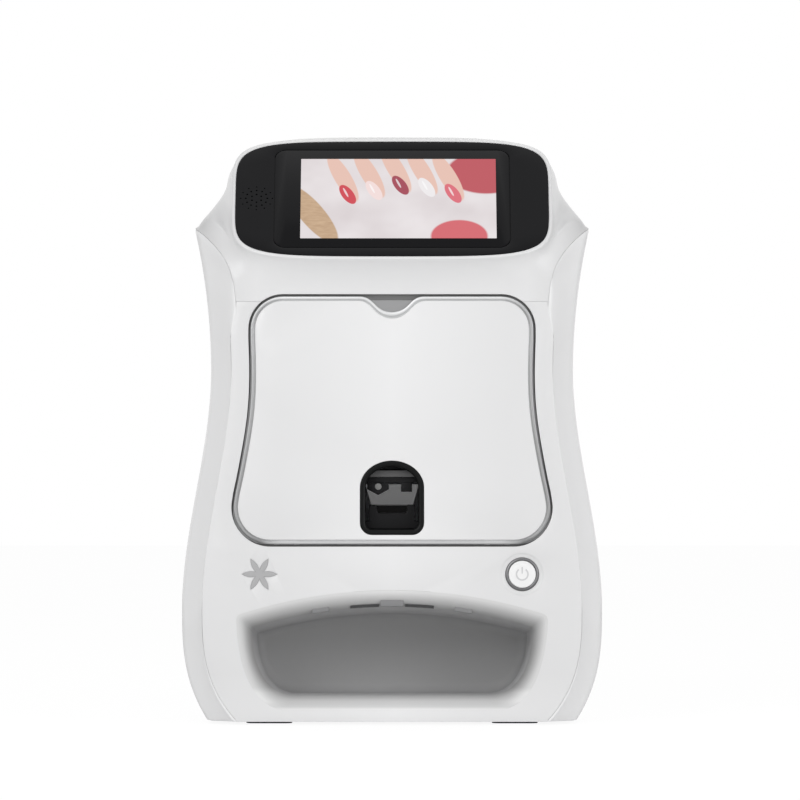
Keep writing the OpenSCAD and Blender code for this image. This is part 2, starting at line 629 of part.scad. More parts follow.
speaker_r = 12;
rib_x = 60;
rib_d = 6;
bracket_d = bezel_t + 3.4;
module display_bezel() color("black")
    difference() {
        screen_prism(screen_outline(0), 0, bezel_t);
        screen_prism(plate(panel_w + 0.3, panel_h + 0.3, 6.4), -1, bezel_t + 1);
        for (ring = [[1, 0], [6, 3.7], [12, 8.2], [18, 11.2]], i = [0 : ring[0] - 1])
            screen_rod(-speaker_x + ring[1] * cos(360 * i / ring[0]), ring[1] * sin(360 * i / ring[0]),
                       0.6, -1, bezel_t + 1);
    }
glass_back = 1.3;
module touch_panel() color("darkslategray") screen_prism(plate(panel_w, panel_h, 6.2), 0.1, glass_back);
lcd_rim = 5.5;
lcd_back = bezel_t + 0.15;
module lcd_module() color("silver") {
    screen_prism(plate(picture_w + 2 * lcd_rim, picture_h + 2 * lcd_rim, 1, picture_x, 0), lcd_back, bracket_d - 0.2);
    screen_prism(plate(picture_w, picture_h, 0.5, picture_x, 0), glass_back + 0.01, lcd_back + eps);
}
module speaker() color("dimgray") screen_rod(-speaker_x, 0, speaker_r, bezel_t + 0.2, bracket_d - 0.2);
module display_bracket() color("silver")
    difference() {
        union() {
            screen_prism(screen_outline(-1.8), bracket_d, bracket_d + sheet_t);
            for (x = [-rib_x, 0, rib_x])
                screen_prism(plate(8, bezel_h - 20, 1, x, 0), bracket_d + sheet_t - eps, bracket_d + rib_d);
        }
        for (x = [-rib_x / 2, rib_x / 2])
            screen_prism(plate(36, 50, 6, x, 0), bracket_d - 1, bracket_d + rib_d + 1);
        screen_rod(-speaker_x, 0, 5, bracket_d - 1, bracket_d + rib_d + 1);
    }

// ---- Base, rear and feet ----

plate_t = 3;
foot_x = 96;
foot_y = rear_y - 32;
function base_outline(in) =
    let (p = inner_plan(foot_h, wall + in), n = len(p))
    concat([[p[0].x, p[0].y], for (j = [1 : n - 1]) p[j]], [for (j = [n - 1 : -1 : 0]) [-p[j].x, p[j].y]]);
module base_plate() color("gray") {
    difference() {
        union() {
            translate([0, 0, foot_h]) linear_extrude(plate_t) polygon(base_outline(panel_gap));
            for (s = [-1, 1], y = [110, 170, 230])
                translate([s * (base_w / 2 - side_taper - 14), front_y + y, foot_h + plate_t - eps])
                    cylinder(r = 4, h = 9);
        }
        for (s = [-1, 1], e = [-1, 1])
            translate([s * foot_x, e * foot_y, foot_h - 1]) cylinder(r = 2.6, h = plate_t + 2);
        for (i = [-6 : 6]) translate([i * 9 - 2, front_y + 210, foot_h - 1]) cube([4, 50, plate_t + 2]);
    }
}
module rubber_feet() color("black")
    for (s = [-1, 1], e = [-1, 1]) {
        translate([s * foot_x, e * foot_y, 0]) linear_extrude(foot_h)
            polygon(plate(36, 14, 6));
        translate([s * foot_x, e * foot_y, foot_h - eps]) cylinder(r = 2.5, h = plate_t);
    }

function rear_half_w(z) = side_w(z) - side_taper - rear_r - panel_gap;
function rear_outline(z0, z1) = mirrored([for (i = [0 : 24]) let (z = lerp(z0, z1, i / 24)) [rear_half_w(z), z]]);
module rear_prism(pts, y0, y1) translate([0, y1, 0]) rotate([90, 0, 0]) linear_extrude(y1 - y0) polygon(pts);
module rear_rod(x, z, r, y0, y1) translate([x, y1, z]) rotate([90, 0, 0]) cylinder(r = r, h = y1 - y0);
case_z = [20, 200, 360];
inlet_x = -78;
rocker_x = -40;
port_z = 62;
fan_x = 0;
fan_z = 262;
fan_w = 60;
fan_t = 15;
module rear_panel() color("gainsboro")
    difference() {
        rear_prism(rear_outline(foot_h, rear_z), rear_y - wall, rear_y);
        // Fan grille: arcs left between rings, held by a cross
        difference() {
            for (r = [8, 14, 20, 26]) difference() {
                rear_rod(fan_x, fan_z, r, rear_y - wall - 1, rear_y + 1);
                rear_rod(fan_x, fan_z, r - 4, rear_y - wall - 2, rear_y + 2);
            }
            for (a = [45, 135])
                translate([fan_x, rear_y, fan_z]) rotate([0, a, 0]) cube([70, 3 * wall, 3], center = true);
        }
        for (row = [0, 1], i = [-5 : 5])
            translate([i * 12 - 2, rear_y - wall - 1, 130 + row * 34]) cube([4, wall + 2, 24]);
        translate([inlet_x - 14, rear_y - wall - 1, port_z - 10]) cube([28, wall + 2, 20]);
        translate([rocker_x - 6.7, rear_y - wall - 1, port_z - 9.7]) cube([13.4, wall + 2, 19.4]);
        for (s = [-1, 1], z = case_z) rear_rod(s * (rear_half_w(z) - 7), z, 1.8, rear_y - wall - 1, rear_y + 1);
    }
module power_inlet() color("black") {
    difference() {
        translate([inlet_x - 13.8, rear_y - wall - 16, port_z - 9.8]) cube([27.6, wall + 15.8, 19.6]);
        translate([inlet_x - 11, rear_y - 15, port_z - 7]) cube([22, 16, 14]);
    }
    for (x = [-7, 0, 7])
        translate([inlet_x + x - 1, rear_y - 16, port_z - 2 + (x == 0 ? 2 : -1)]) cube([2, 12, 4]);
}
module rocker_housing() color("black")
    difference() {
        translate([rocker_x - 6.5, rear_y - wall - 14, port_z - 9.5]) cube([13, wall + 13.8, 19]);
        translate([rocker_x - 5, rear_y - wall - 10, port_z - 8]) cube([10, wall + 12, 16]);
        translate([rocker_x - 7, rear_y - 7, port_z]) rotate([0, 90, 0]) cylinder(r = 1 + run_gap, h = 14);
    }
module power_rocker() color("firebrick")
    intersection() {
        union() {
            translate([rocker_x - 4.6, rear_y - 7, port_z]) rotate([0, 90, 0]) linear_extrude(9.2)
                polygon([[-6.6, 4.6], [0, 5.4], [6.6, 4.6], [6.6, 1], [2, -2.6], [-2, -2.6], [-6.6, 1]]);
            translate([rocker_x - 6.4, rear_y - 7, port_z]) rotate([0, 90, 0]) cylinder(r = 1, h = 12.8);
        }
        translate([rocker_x - 7, rear_y - 13, port_z - 9]) cube([14, 13, 18]);
    }
fan_y = rear_y - wall - fan_t - 0.2;
module fan_frame() color("dimgray")
    difference() {
        union() {
            difference() {
                rear_prism(plate(fan_w, fan_w, 5, fan_x, fan_z), fan_y, fan_y + fan_t);
                rear_rod(fan_x, fan_z, fan_w / 2 - 1.6, fan_y - 1, fan_y + fan_t + 1);
            }
            rear_rod(fan_x, fan_z, 11, fan_y, fan_y + 2);
            for (a = [0, 60, 120]) intersection() {
                translate([fan_x, fan_y + 1, fan_z]) rotate([0, a, 0]) cube([fan_w - 2, 2, 3], center = true);
                rear_rod(fan_x, fan_z, fan_w / 2 - 1, fan_y, fan_y + 2);
            }
            rear_rod(fan_x, fan_z, 3.4, fan_y, fan_y + 6);
        }
        rear_rod(fan_x, fan_z, 1.5 + run_gap, fan_y - 1, fan_y + 7);
        for (s = [-1, 1], e = [-1, 1])
            rear_rod(fan_x + s * 25, fan_z + e * 25, 2.1, fan_y - 1, fan_y + fan_t + 1);
    }
blade_n = 7;
module fan_rotor() color("black") {
    difference() {
        rear_rod(fan_x, fan_z, 11, fan_y + 2.6, fan_y + 13.6);
        rear_rod(fan_x, fan_z, 4.4, fan_y + 2, fan_y + 7);
    }
    rear_rod(fan_x, fan_z, 1.5, fan_y + 0.4, fan_y + 8);
    for (i = [0 : blade_n - 1])
        intersection() {
            translate([fan_x, fan_y + 8, fan_z]) rotate([0, 360 * i / blade_n, 0]) translate([8, 0, 0])
                rotate([38, 0, 0]) translate([0, -7, -0.8]) cube([fan_w / 2, 14, 1.6]);
            rear_rod(fan_x, fan_z, fan_w / 2 - 2.6, fan_y + 3.4, fan_y + 13);
        }
}

// ---- Chassis ----

side_x = 106;
deck_z = 143;
bay_front = front_y + 36;
back_y = front_y + 210;
leg_y = front_y + 142;
liner_top = 112;
chassis_top = 306;
floor_z = foot_h + plate_t;
module chassis_sides() color("silver")
    for (s = [-1, 1])
        translate([s > 0 ? side_x - sheet_t : -side_x, 0, 0]) rotate([90, 0, 90]) linear_extrude(sheet_t)
            difference() {
                polygon([[bay_front, liner_top], [leg_y, liner_top], [leg_y, floor_z], [back_y, floor_z],
                         [back_y, chassis_top], [bay_front, chassis_top]]);
                for (y = [34, 76]) polygon(plate(34, 60, 8, bay_front + y, 200));
                polygon(plate(36, 70, 8, leg_y + 34, 70));
            }
inner_x = side_x - sheet_t - 0.1;
module chassis_deck() color("silver")
    difference() {
        translate([-inner_x, bay_front, deck_z]) cube([2 * inner_x, back_y - bay_front - 0.2, sheet_t]);
        for (x = [-60, -20, 20, 60]) translate([x - 15, front_y + 130, deck_z - 1]) cube([30, 60, sheet_t + 2]);
    }
module chassis_back() color("silver")
    difference() {
        translate([-side_x, back_y + 0.1, floor_z]) cube([2 * side_x, sheet_t, chassis_top - floor_z]);
        for (x = [-66, -22, 22, 66]) rear_prism(plate(34, 60, 8, x, 60), back_y - 1, back_y + 9);
    }
screw_z_axis = 298;
bar_d = 6;
rear_bar_y = front_y + 168;
module chassis_bridge() color("silver")
    for (y = [bay_front, rear_bar_y])
        difference() {
            translate([-inner_x, y, screw_z_axis - 8]) cube([2 * inner_x, bar_d, 16]);
            along_y(-screw_x, screw_z_axis, screw_r + run_gap, y - 1, y + bar_d + 1);
        }

// ---- Gantry ----

bush_t = 2;
block_w = 20;
block_d = 30;
rail_front = bay_front + 1;
rail_rear = -gantry_y + block_d / 2 + gantry_travel + 41;
upper_z = rail_z + rod_half;
lower_z = rail_z - rod_half;
block_low = lower_z - 10;
block_top = upper_z + 8;
pulley_z = block_top + pulley_r + 8;
belt_w = 6;
belt_t = 1.4;
belt_gap = 0.15;
pulley_x = rail_x - 4;
motor_y = -gantry_y + 9;

module along_y(x, z, r, y0, y1) translate([x, y0, z]) rotate([-90, 0, 0]) cylinder(r = r, h = y1 - y0);
module along_x(y, z, r, x0, x1) translate([x0, y, z]) rotate([0, 90, 0]) cylinder(r = r, h = x1 - x0);

module rail_rods() color("silver")
    for (s = [-1, 1]) along_y(s * rail_x, rail_z, rod_r, rail_front, rail_rear);
module rail_brackets() color("dimgray")
    for (s = [-1, 1], y = [rail_front, rail_rear - 8])
        difference() {
            translate([s > 0 ? rail_x - 7 : -inner_x, y, rail_z - 8]) cube([inner_x - rail_x + 7, 8, 16]);
            along_y(s * rail_x, rail_z, rod_r, y - 1, y + 9);
        }

// Printer-side blocks: each rides on one rail and holds the two cross rods
module gantry_blocks() color("dimgray") {
    along_y(-pulley_x, pulley_z, 2, -gantry_y - belt_w / 2 - 3, motor_y - 3 + eps);
    for (s = [-1, 1])
        difference() {
            union() {
                translate([s * rail_x - block_w / 2, -gantry_y - block_d / 2, block_low])
                    cube([block_w, block_d, block_top - block_low]);
                // Upright that holds the pulley's axle and, on the right, the motor
                translate([s * pulley_x - (s > 0 ? motor_w / 2 - 6 : 8), motor_y - 3, block_top - eps])
                    cube([s > 0 ? motor_w - 12 : 16, 3, pulley_z - block_top + 10]);
            }
            along_y(s * rail_x, rail_z, rod_r + bush_t, -gantry_y - block_d, -gantry_y + block_d);
            along_x(-gantry_y, upper_z, rod_r, -200, 200);
            along_x(-gantry_y, lower_z, rod_r, -200, 200);
            if (s > 0) along_y(pulley_x, pulley_z, 4, motor_y - 4, motor_y + 1);
        }
}
module gantry_bushes() color("goldenrod")
    for (s = [-1, 1])
        difference() {
            along_y(s * rail_x, rail_z, rod_r + bush_t, -gantry_y - block_d / 2, -gantry_y + block_d / 2);
            along_y(s * rail_x, rail_z, rod_r + run_gap, -gantry_y - block_d, -gantry_y + block_d);
        }
beam_y = -gantry_y + block_d / 2;
module gantry_beam() color("silver")
    difference() {
        union() {
            translate([-rail_x - block_w / 2, beam_y, block_top - 16]) cube([2 * rail_x + block_w, 3, 16]);
            translate([-screw_x - 14, beam_y, block_top - 2]) cube([28, 3, screw_z_axis + 8 - block_top + 2]);
            along_y(-screw_x, screw_z_axis, 9, beam_y, beam_y + 12);
        }
        along_y(-screw_x, screw_z_axis, screw_r + run_gap, beam_y - 1, beam_y + 13);
        translate([-carriage_w - carriage_travel - 2, beam_y - 1, block_top - 17])
            cube([2 * (carriage_w + carriage_travel + 2), 5, 4]);
    }
module cross_rods() color("silver")
    for (z = [upper_z, lower_z]) along_x(-gantry_y, z, rod_r, -rail_x - 7, rail_x + 7);

module belt_loop(r, w)
    translate([0, -gantry_y + w / 2, pulley_z]) rotate([90, 0, 0]) linear_extrude(w) {
        square([2 * pulley_x, 2 * r], center = true);
        for (s = [-1, 1]) translate([s * pulley_x, 0]) circle(r = r);
    }
module drive_belt() color("black")
    difference() {
        belt_loop(pulley_r + belt_gap + belt_t, belt_w);
        belt_loop(pulley_r + belt_gap, belt_w + 2);
    }
module pulley(s) {
    difference() {
        union() {
            along_y(s * pulley_x, pulley_z, pulley_r, -gantry_y - belt_w / 2 - 0.4, -gantry_y + belt_w / 2 + 0.4);
            for (e = [-1, 1])
                translate([0, e * (belt_w / 2 + 1), 0])
                    along_y(s * pulley_x, pulley_z, pulley_r + 1.6, -gantry_y - 0.6, -gantry_y + 0.6);
        }
        if (s < 0) along_y(s * pulley_x, pulley_z, 2 + run_gap, -gantry_y - belt_w, -gantry_y + belt_w);
        for (i = [0 : 15])
            translate([s * pulley_x, -gantry_y - belt_w / 2, pulley_z]) rotate([0, 22.5 * i, 0])
                translate([pulley_r, 0, 0]) rotate([-90, 0, 0]) cylinder(r = 0.4, h = belt_w, $fn = 16);
    }
}
module drive_pulley() color("silver") {
    pulley(1);
    along_y(pulley_x, pulley_z, 2.5, -gantry_y - belt_w / 2 - 2, motor_y - 0.2);
}
module idler_pulley() color("silver") pulley(-1);
module motor(x, y, z, l)
    color("dimgray") difference() {
        translate([0, y + l, 0]) rotate([90, 0, 0]) linear_extrude(l)
            polygon([for (p = plate(motor_w, motor_w, 4, x, z)) p]);
        along_y(x, z, 5, y - 1, y + 1.2);
        for (s = [-1, 1], e = [-1, 1]) 
            along_y(x + s * (motor_w / 2 - 3), z + e * (motor_w / 2 - 3), 1.2, y - 1, y + 3);
    }
module carriage_motor() motor(pulley_x, motor_y, pulley_z, 26);
module gantry_motor() motor(-screw_x, rear_bar_y + bar_d, screw_z_axis, 32);
module lead_screw() color("silver")
    difference() {
        along_y(-screw_x, screw_z_axis, screw_r, bay_front + 0.6, rear_bar_y + bar_d - 0.2);
        for (i = [0 : 50])
            translate([-screw_x, bay_front + 10 + 2.4 * i, screw_z_axis]) rotate([-90, 0, 0]) difference() {
                cylinder(r = screw_r + 1, h = 0.9);
                translate([0, 0, -1]) cylinder(r = screw_r - 0.5, h = 3);
            }
    }

// ---- Carriage ----

pocket_y = -gantry_y - 46;
pocket_w = 17;
pocket_low = 196;
ink_w = 13.2;
ink_top = 258;
latch_y = -gantry_y - 14;
latch_z = 271;
module carriage() color("dimgray") {
    along_x(latch_y, latch_z, 1.5, -14, 14);
    difference() {
        union() {
            translate([-carriage_w, -gantry_y - 12, block_low + 2])
                cube([2 * carriage_w, 24, block_top - block_low - 4]);
            translate([-pocket_w, pocket_y, pocket_low]) cube([2 * pocket_w, 36, 50]);
            // Belt clamp, one jaw under and one over the belt's lower run
            translate([-9, -gantry_y - 6, block_top - 3])
                cube([18, 12, pulley_z - pulley_r - belt_gap - belt_t - 0.3 - block_top + 3]);
            translate([-9, -gantry_y + belt_w / 2 + 0.4, block_top - 3]) cube([18, 2.4, 11]);
            for (s = [-1, 1])
                translate([s * 15 - 2, latch_y - 4, block_top - 8]) cube([4, 8, latch_z - block_top + 11]);
        }
        translate([-pocket_w + 3, pocket_y - 1, pocket_low + 2]) cube([2 * pocket_w - 6, 34, 60]);
        translate([-9, pocket_y + 4, pocket_low - 1]) cube([18, 26, 4]);
        for (z = [upper_z, lower_z]) along_x(-gantry_y, z, rod_r + bush_t, -40, 40);
        translate([-11, latch_y - 5, block_top - 9]) cube([22, 11, 14]);
    }
}
module carriage_bushes() color("goldenrod")
    for (z = [upper_z, lower_z], s = [-1, 1])
        difference() {
            along_x(-gantry_y, z, rod_r + bush_t, s * 16 - 8, s * 16 + 8);
            along_x(-gantry_y, z, rod_r + run_gap, -40, 40);
        }
module carriage_latch() color("royalblue")
    difference() {
        union() {
            along_x(latch_y, latch_z, 3.2, -10.6, 10.6);
            translate([-10.6, pocket_y + 2, latch_z - 2.4]) cube([21.2, latch_y - pocket_y - 2, 3]);
            translate([-10.6, pocket_y, latch_z - 7]) cube([21.2, 2.4, 9]);
            translate([-6, pocket_y + 16, ink_top + 0.4]) cube([12, 6, latch_z - ink_top - 2]);
        }
        along_x(latch_y, latch_z, 1.5 + run_gap, -20, 20);
    }
module ink_cartridge() color("darkslategray") {
    translate([-ink_w, pocket_y + 1, pocket_low + 2.2]) cube([2 * ink_w, 30, ink_top - pocket_low - 2.2]);
    translate([-8, pocket_y + 6, pocket_low - 8]) cube([16, 20, 11]);
    translate([-ink_w, pocket_y + 1, ink_top - eps]) cube([2 * ink_w, 6, 1.6]);
}

// ---- Finger bay ----

bay_w = 30;
shelf_z = deck_z + sheet_t;
cradle_y = bay_front - 13;
cradle_w = 18;
cradle_l = 62;
cradle_z = 152;
cradle_h = 12;
cushion_w = 7;
groove_r = 11;
groove_z = 175;
module finger_cradle() color("dimgray")
    difference() {
        union() {
            translate([-cradle_w, bay_front + 4, shelf_z])
                cube([2 * cradle_w, cradle_l - 18, cradle_z - shelf_z + 1]);
            translate([-cradle_w, cradle_y, cradle_z]) cube([2 * cradle_w, cradle_l, cradle_h]);
            translate([-cradle_w - 4, cradle_y, cradle_z]) cube([2 * cradle_w + 8, 20, cradle_h / 2]);
            for (s = [-1, 1])
                translate([s * (cradle_w - cushion_w / 2) - cushion_w / 2, cradle_y, cradle_z + cradle_h - 1])
                    cube([cushion_w, cradle_l, cushion_w]);
        }
        along_y(0, groove_z, groove_r, cradle_y - 9, cradle_y + cradle_l + 9);
        translate([-groove_r - 1, cradle_y - 9, groove_z - 9]) cube([2 * groove_r + 2, cradle_l + 18, groove_r]);
    }

stop_y = bay_front + 54;
stop_w = 15;
stop_t = 2.5;
module finger_stop() color("gray")
    difference() {
        union() {
            translate([0, stop_y, 0]) rotate([90, 0, 0]) linear_extrude(stop_t)
                polygon([[-stop_w, shelf_z], [stop_w, shelf_z], [stop_w + 1, 168], [stop_w + 6, 186],
                         [-stop_w - 6, 186], [-stop_w - 1, 168]]);
            translate([-stop_w, stop_y - stop_t, shelf_z]) cube([2 * stop_w, 14, stop_t]);
        }
        for (s = [-1, 1]) translate([s * (stop_w - 6), stop_y + 6, deck_z]) cylinder(r = 1.6, h = 6);
    }

bar_y = front_y + 22;
bar_z = 192.6;
cheek_t = 2;
module bay_walls() color("silver")
    for (s = [-1, 1]) {
        translate([s * bay_w - cheek_t / 2, bay_front, shelf_z]) cube([cheek_t, 60, 38]);
        translate([s * bay_w - cheek_t / 2, bar_y, cradle_z - 2]) cube([cheek_t, 16, 48]);
        translate([s > 0 ? bay_w - 1 : -bay_w - 7, bay_front, shelf_z]) cube([8, 40, cheek_t]);
    }
module lamp_bar() color("lightgray") translate([-bay_w + 1.1, bar_y, bar_z]) cube([2 * bay_w - 2.2, 6, 5.2]);

strip_h = 4.2;
strip_z = bar_z - strip_h - 0.2;
lens_x = -10.8;
lens_z = strip_z - 3.1;
lens_r = 2.5;
module lamp_strip() color("black") {
    translate([-bay_w + 3, bar_y + 0.6, strip_z]) cube([2 * bay_w - 6, 4, strip_h]);
    translate([7, bar_y + 0.4, strip_z - 7.2]) cube([8.6, 4, 7.4]);
}
module camera_bracket() color("black")
    difference() {
        translate([lens_x, bar_y + 3.4, strip_z]) rotate([90, 0, 0]) linear_extrude(2.4)
            polygon([[-8.7, -0.1], [-8.7, -5.2], [0, -9.8], [8.4, -5.2], [8.4, -0.1]]);
        along_y(lens_x, lens_z, lens_r + 0.1, bar_y - 1, bar_y + 6);
    }
module camera_lens() color("lightyellow") along_y(lens_x, lens_z, lens_r, bar_y + 0.7, bar_y + 3.2);

// ---- Electronics ----

board_gap = 5;
board_back = back_y + sheet_t + 0.1 + board_gap;
board_w = 130;
board_h = 110;
board_x = 20;
board_z = 230;
module mainboard() color("darkgreen") {
    rear_prism(plate(board_w, board_h, 3, board_x, board_z), board_back, board_back + 1.6);
    for (s = [-1, 1], e = [-1, 1])
        rear_rod(board_x + s * (board_w / 2 - 7), board_z + e * (board_h / 2 - 7), 2.4,
                 board_back - board_gap + 0.05, board_back + eps);
    for (i = [0 : 2]) rear_rod(board_x - 50 + 20 * i, board_z - 35, 5, board_back + 1.4, board_back + 13);
    translate([board_x + 10, board_back + 1.4, board_z - 20]) cube([26, 3, 26]);
    for (i = [0 : 5]) translate([board_x + 10 + 5 * i, board_back + 1.4, board_z - 20]) cube([1.2, 14, 26]);
    for (i = [0 : 3]) translate([board_x - 55 + 26 * i, board_back + 1.4, board_z + 32]) cube([18, 9, 7]);
}

supply_w = 90;
supply_h = 36;
supply_d = 0.62 * (rear_y - wall - back_y);
supply_y = back_y + 8;
module power_supply() color("silver")
    difference() {
        translate([-100, supply_y, floor_z + 0.1]) cube([supply_w, supply_d, supply_h]);
        for (i = [0 : 9]) translate([-94 + 8 * i, supply_y - 8, floor_z + 8]) cube([4, supply_d + 20, 20]);
        translate([-100 + sheet_t, supply_y + sheet_t, floor_z + 2])
            cube([supply_w - 2 * sheet_t, supply_d - 2 * sheet_t, supply_h - 3.5]);
    }

module case_screws() color("silver") {
    for (s = [-1, 1], z = case_z)
        rear_rod(s * (rear_half_w(z) - 7), z, 1.8, rear_y - wall - 5, rear_y - 0.2);
    for (s = [-1, 1], z = screw_z) face_rod(s * (face_w(z) - 6), z, 1.6, wall + 9, wall + 12);
}

base_plate();
rubber_feet();
side_panel_left();
side_panel_right();
rear_panel();
front_frame();
top_cover();
hollow_lip();
hand_liner();
ornament();
display_bezel();
touch_panel();
lcd_module();
speaker();
display_bracket();
button_ring();
button_cap();
button_spring();
button_board();
door_panel();
door_trim();
door_liner();
window_bezel();
door_magnets();
hinge_pins();
chassis_sides();
chassis_deck();
chassis_back();
chassis_bridge();
rail_rods();
rail_brackets();
lead_screw();
gantry_motor();
gantry_blocks();
gantry_bushes();
gantry_beam();
cross_rods();
drive_belt();
drive_pulley();
idler_pulley();
carriage_motor();
carriage();
carriage_bushes();
carriage_latch();
ink_cartridge();
finger_cradle();
finger_stop();
bay_walls();
lamp_bar();
lamp_strip();
camera_bracket();
camera_lens();
power_inlet();
rocker_housing();
power_rocker();
fan_frame();
fan_rotor();
mainboard();
power_supply();
case_screws();
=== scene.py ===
"""Look of a countertop digital nail art printer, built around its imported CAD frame."""

import json
import logging
import math
from dataclasses import dataclass, field
from enum import Enum
from typing import Callable, Iterable, Optional, Sequence, Union

import bmesh
import bpy
from mathutils import Matrix, Vector


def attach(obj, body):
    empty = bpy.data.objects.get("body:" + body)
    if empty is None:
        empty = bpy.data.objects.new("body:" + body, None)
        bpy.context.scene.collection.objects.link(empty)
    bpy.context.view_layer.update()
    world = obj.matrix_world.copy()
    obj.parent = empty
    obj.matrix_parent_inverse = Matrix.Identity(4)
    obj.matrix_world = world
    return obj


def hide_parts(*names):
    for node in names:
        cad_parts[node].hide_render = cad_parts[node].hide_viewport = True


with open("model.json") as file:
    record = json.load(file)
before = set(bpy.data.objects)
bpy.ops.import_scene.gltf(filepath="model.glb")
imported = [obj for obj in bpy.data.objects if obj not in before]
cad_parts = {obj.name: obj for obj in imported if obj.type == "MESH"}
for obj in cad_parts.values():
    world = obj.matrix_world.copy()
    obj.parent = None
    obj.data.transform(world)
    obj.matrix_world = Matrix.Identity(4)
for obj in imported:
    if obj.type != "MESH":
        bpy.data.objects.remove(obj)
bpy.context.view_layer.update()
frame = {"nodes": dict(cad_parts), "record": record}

LOG = logging.getLogger("nail_printer")
MM = 0.001
FULL_TURN = 2 * math.pi

Pair = tuple[float, float]
Color = tuple[float, float, float]
Value = Union[float, int, tuple, "Tone"]
Blend = Union[float, Vector]
Place = Callable[[float, float], Vector]


# ---- Numbers ----


def lerp(a: Blend, b: Blend, t: float) -> Blend:
    """Value between a and b, for numbers and vectors alike."""
    return a + (b - a) * t


def ease(t: float) -> float:
    """Smoothstep of t, held inside 0 and 1."""
    t = min(1.0, max(0.0, t))
    return t * t * (3 - 2 * t)


def steps(count: int, low: float = 0.0, high: float = 1.0) -> list[float]:
    """Even values from low to high, count intervals apart."""
    return [lerp(low, high, i / count) for i in range(count + 1)]


def round_corner(before: Vector, corner: Vector, after: Vector, radius: float, chords: int) -> list[Vector]:
    """Points that round one corner of an outline.

    Args:
        before: The outline's point ahead of the corner.
        corner: The corner.
        after: The outline's point behind the corner.
        radius: Radius of the rounding; 0 keeps the corner.
        chords: Number of chords along the rounding.

    Returns:
        The corner itself, or the points of its arc.
    """
    if radius <= 0:
        return [corner]
    u, v = (before - corner).normalized(), (after - corner).normalized()
    half = math.acos(max(-1.0, min(1.0, u.dot(v)))) / 2
    centre = corner + (u + v).normalized() * radius / math.sin(half)
    start = corner + u * radius / math.tan(half) - centre
    end = corner + v * radius / math.tan(half) - centre
    first = math.atan2(start.y, start.x)
    sweep = (math.atan2(end.y, end.x) - first + math.pi) % FULL_TURN - math.pi
    return [centre + radius * Vector((math.cos(first + sweep * t), math.sin(first + sweep * t)))
            for t in steps(chords)]


def rounded(corners: Sequence[tuple[float, float, float]], chords: int = 8) -> list[Vector]:
    """Outline with rounded corners.

    Args:
        corners: The corners, each as x, y and radius.
        chords: Number of chords along each rounding.

    Returns:
        The outline's points.
    """
    flat = [Vector(c[:2]) for c in corners]
    n = len(flat)
    return [p for i in range(n)
            for p in round_corner(flat[i - 1], flat[i], flat[(i + 1) % n], corners[i][2], chords)]


def plate(w: float, h: float, r: float, x: float = 0.0, y: float = 0.0) -> list[Vector]:
    """Rounded rectangle about x and y."""
    return rounded([(x - w / 2, y - h / 2, r), (x + w / 2, y - h / 2, r),
                    (x + w / 2, y + h / 2, r), (x - w / 2, y + h / 2, r)])


def disc(x: float, y: float, r: float, count: int = 48) -> list[Vector]:
    """Circle about x and y as an outline."""
    return [Vector((x + r * math.cos(FULL_TURN * i / count), y + r * math.sin(FULL_TURN * i / count)))
            for i in range(count)]


# ---- Shader expressions ----


class Tone:
    """A shader socket that takes part in Python expressions; values add Math nodes."""

    def __init__(self, net: "Net", socket: bpy.types.NodeSocket) -> None:
        """Wraps one output socket of a net."""
        self.net = net
        self.socket = socket

    def _math(self, operation: str, left: Value, right: Value) -> "Tone":
        """Adds a Math node for one operator."""
        return self.net.node("ShaderNodeMath", {"operation": operation}, {0: left, 1: right})

    def __add__(self, other: Value) -> "Tone":
        """Sum."""
        return self._math("ADD", self, other)

    def __radd__(self, other: Value) -> "Tone":
        """Reflected sum."""
        return self._math("ADD", other, self)

    def __sub__(self, other: Value) -> "Tone":
        """Difference."""
        return self._math("SUBTRACT", self, other)

    def __rsub__(self, other: Value) -> "Tone":
        """Reflected difference."""
        return self._math("SUBTRACT", other, self)

    def __mul__(self, other: Value) -> "Tone":
        """Product."""
        return self._math("MULTIPLY", self, other)

    def __rmul__(self, other: Value) -> "Tone":
        """Reflected product."""
        return self._math("MULTIPLY", other, self)


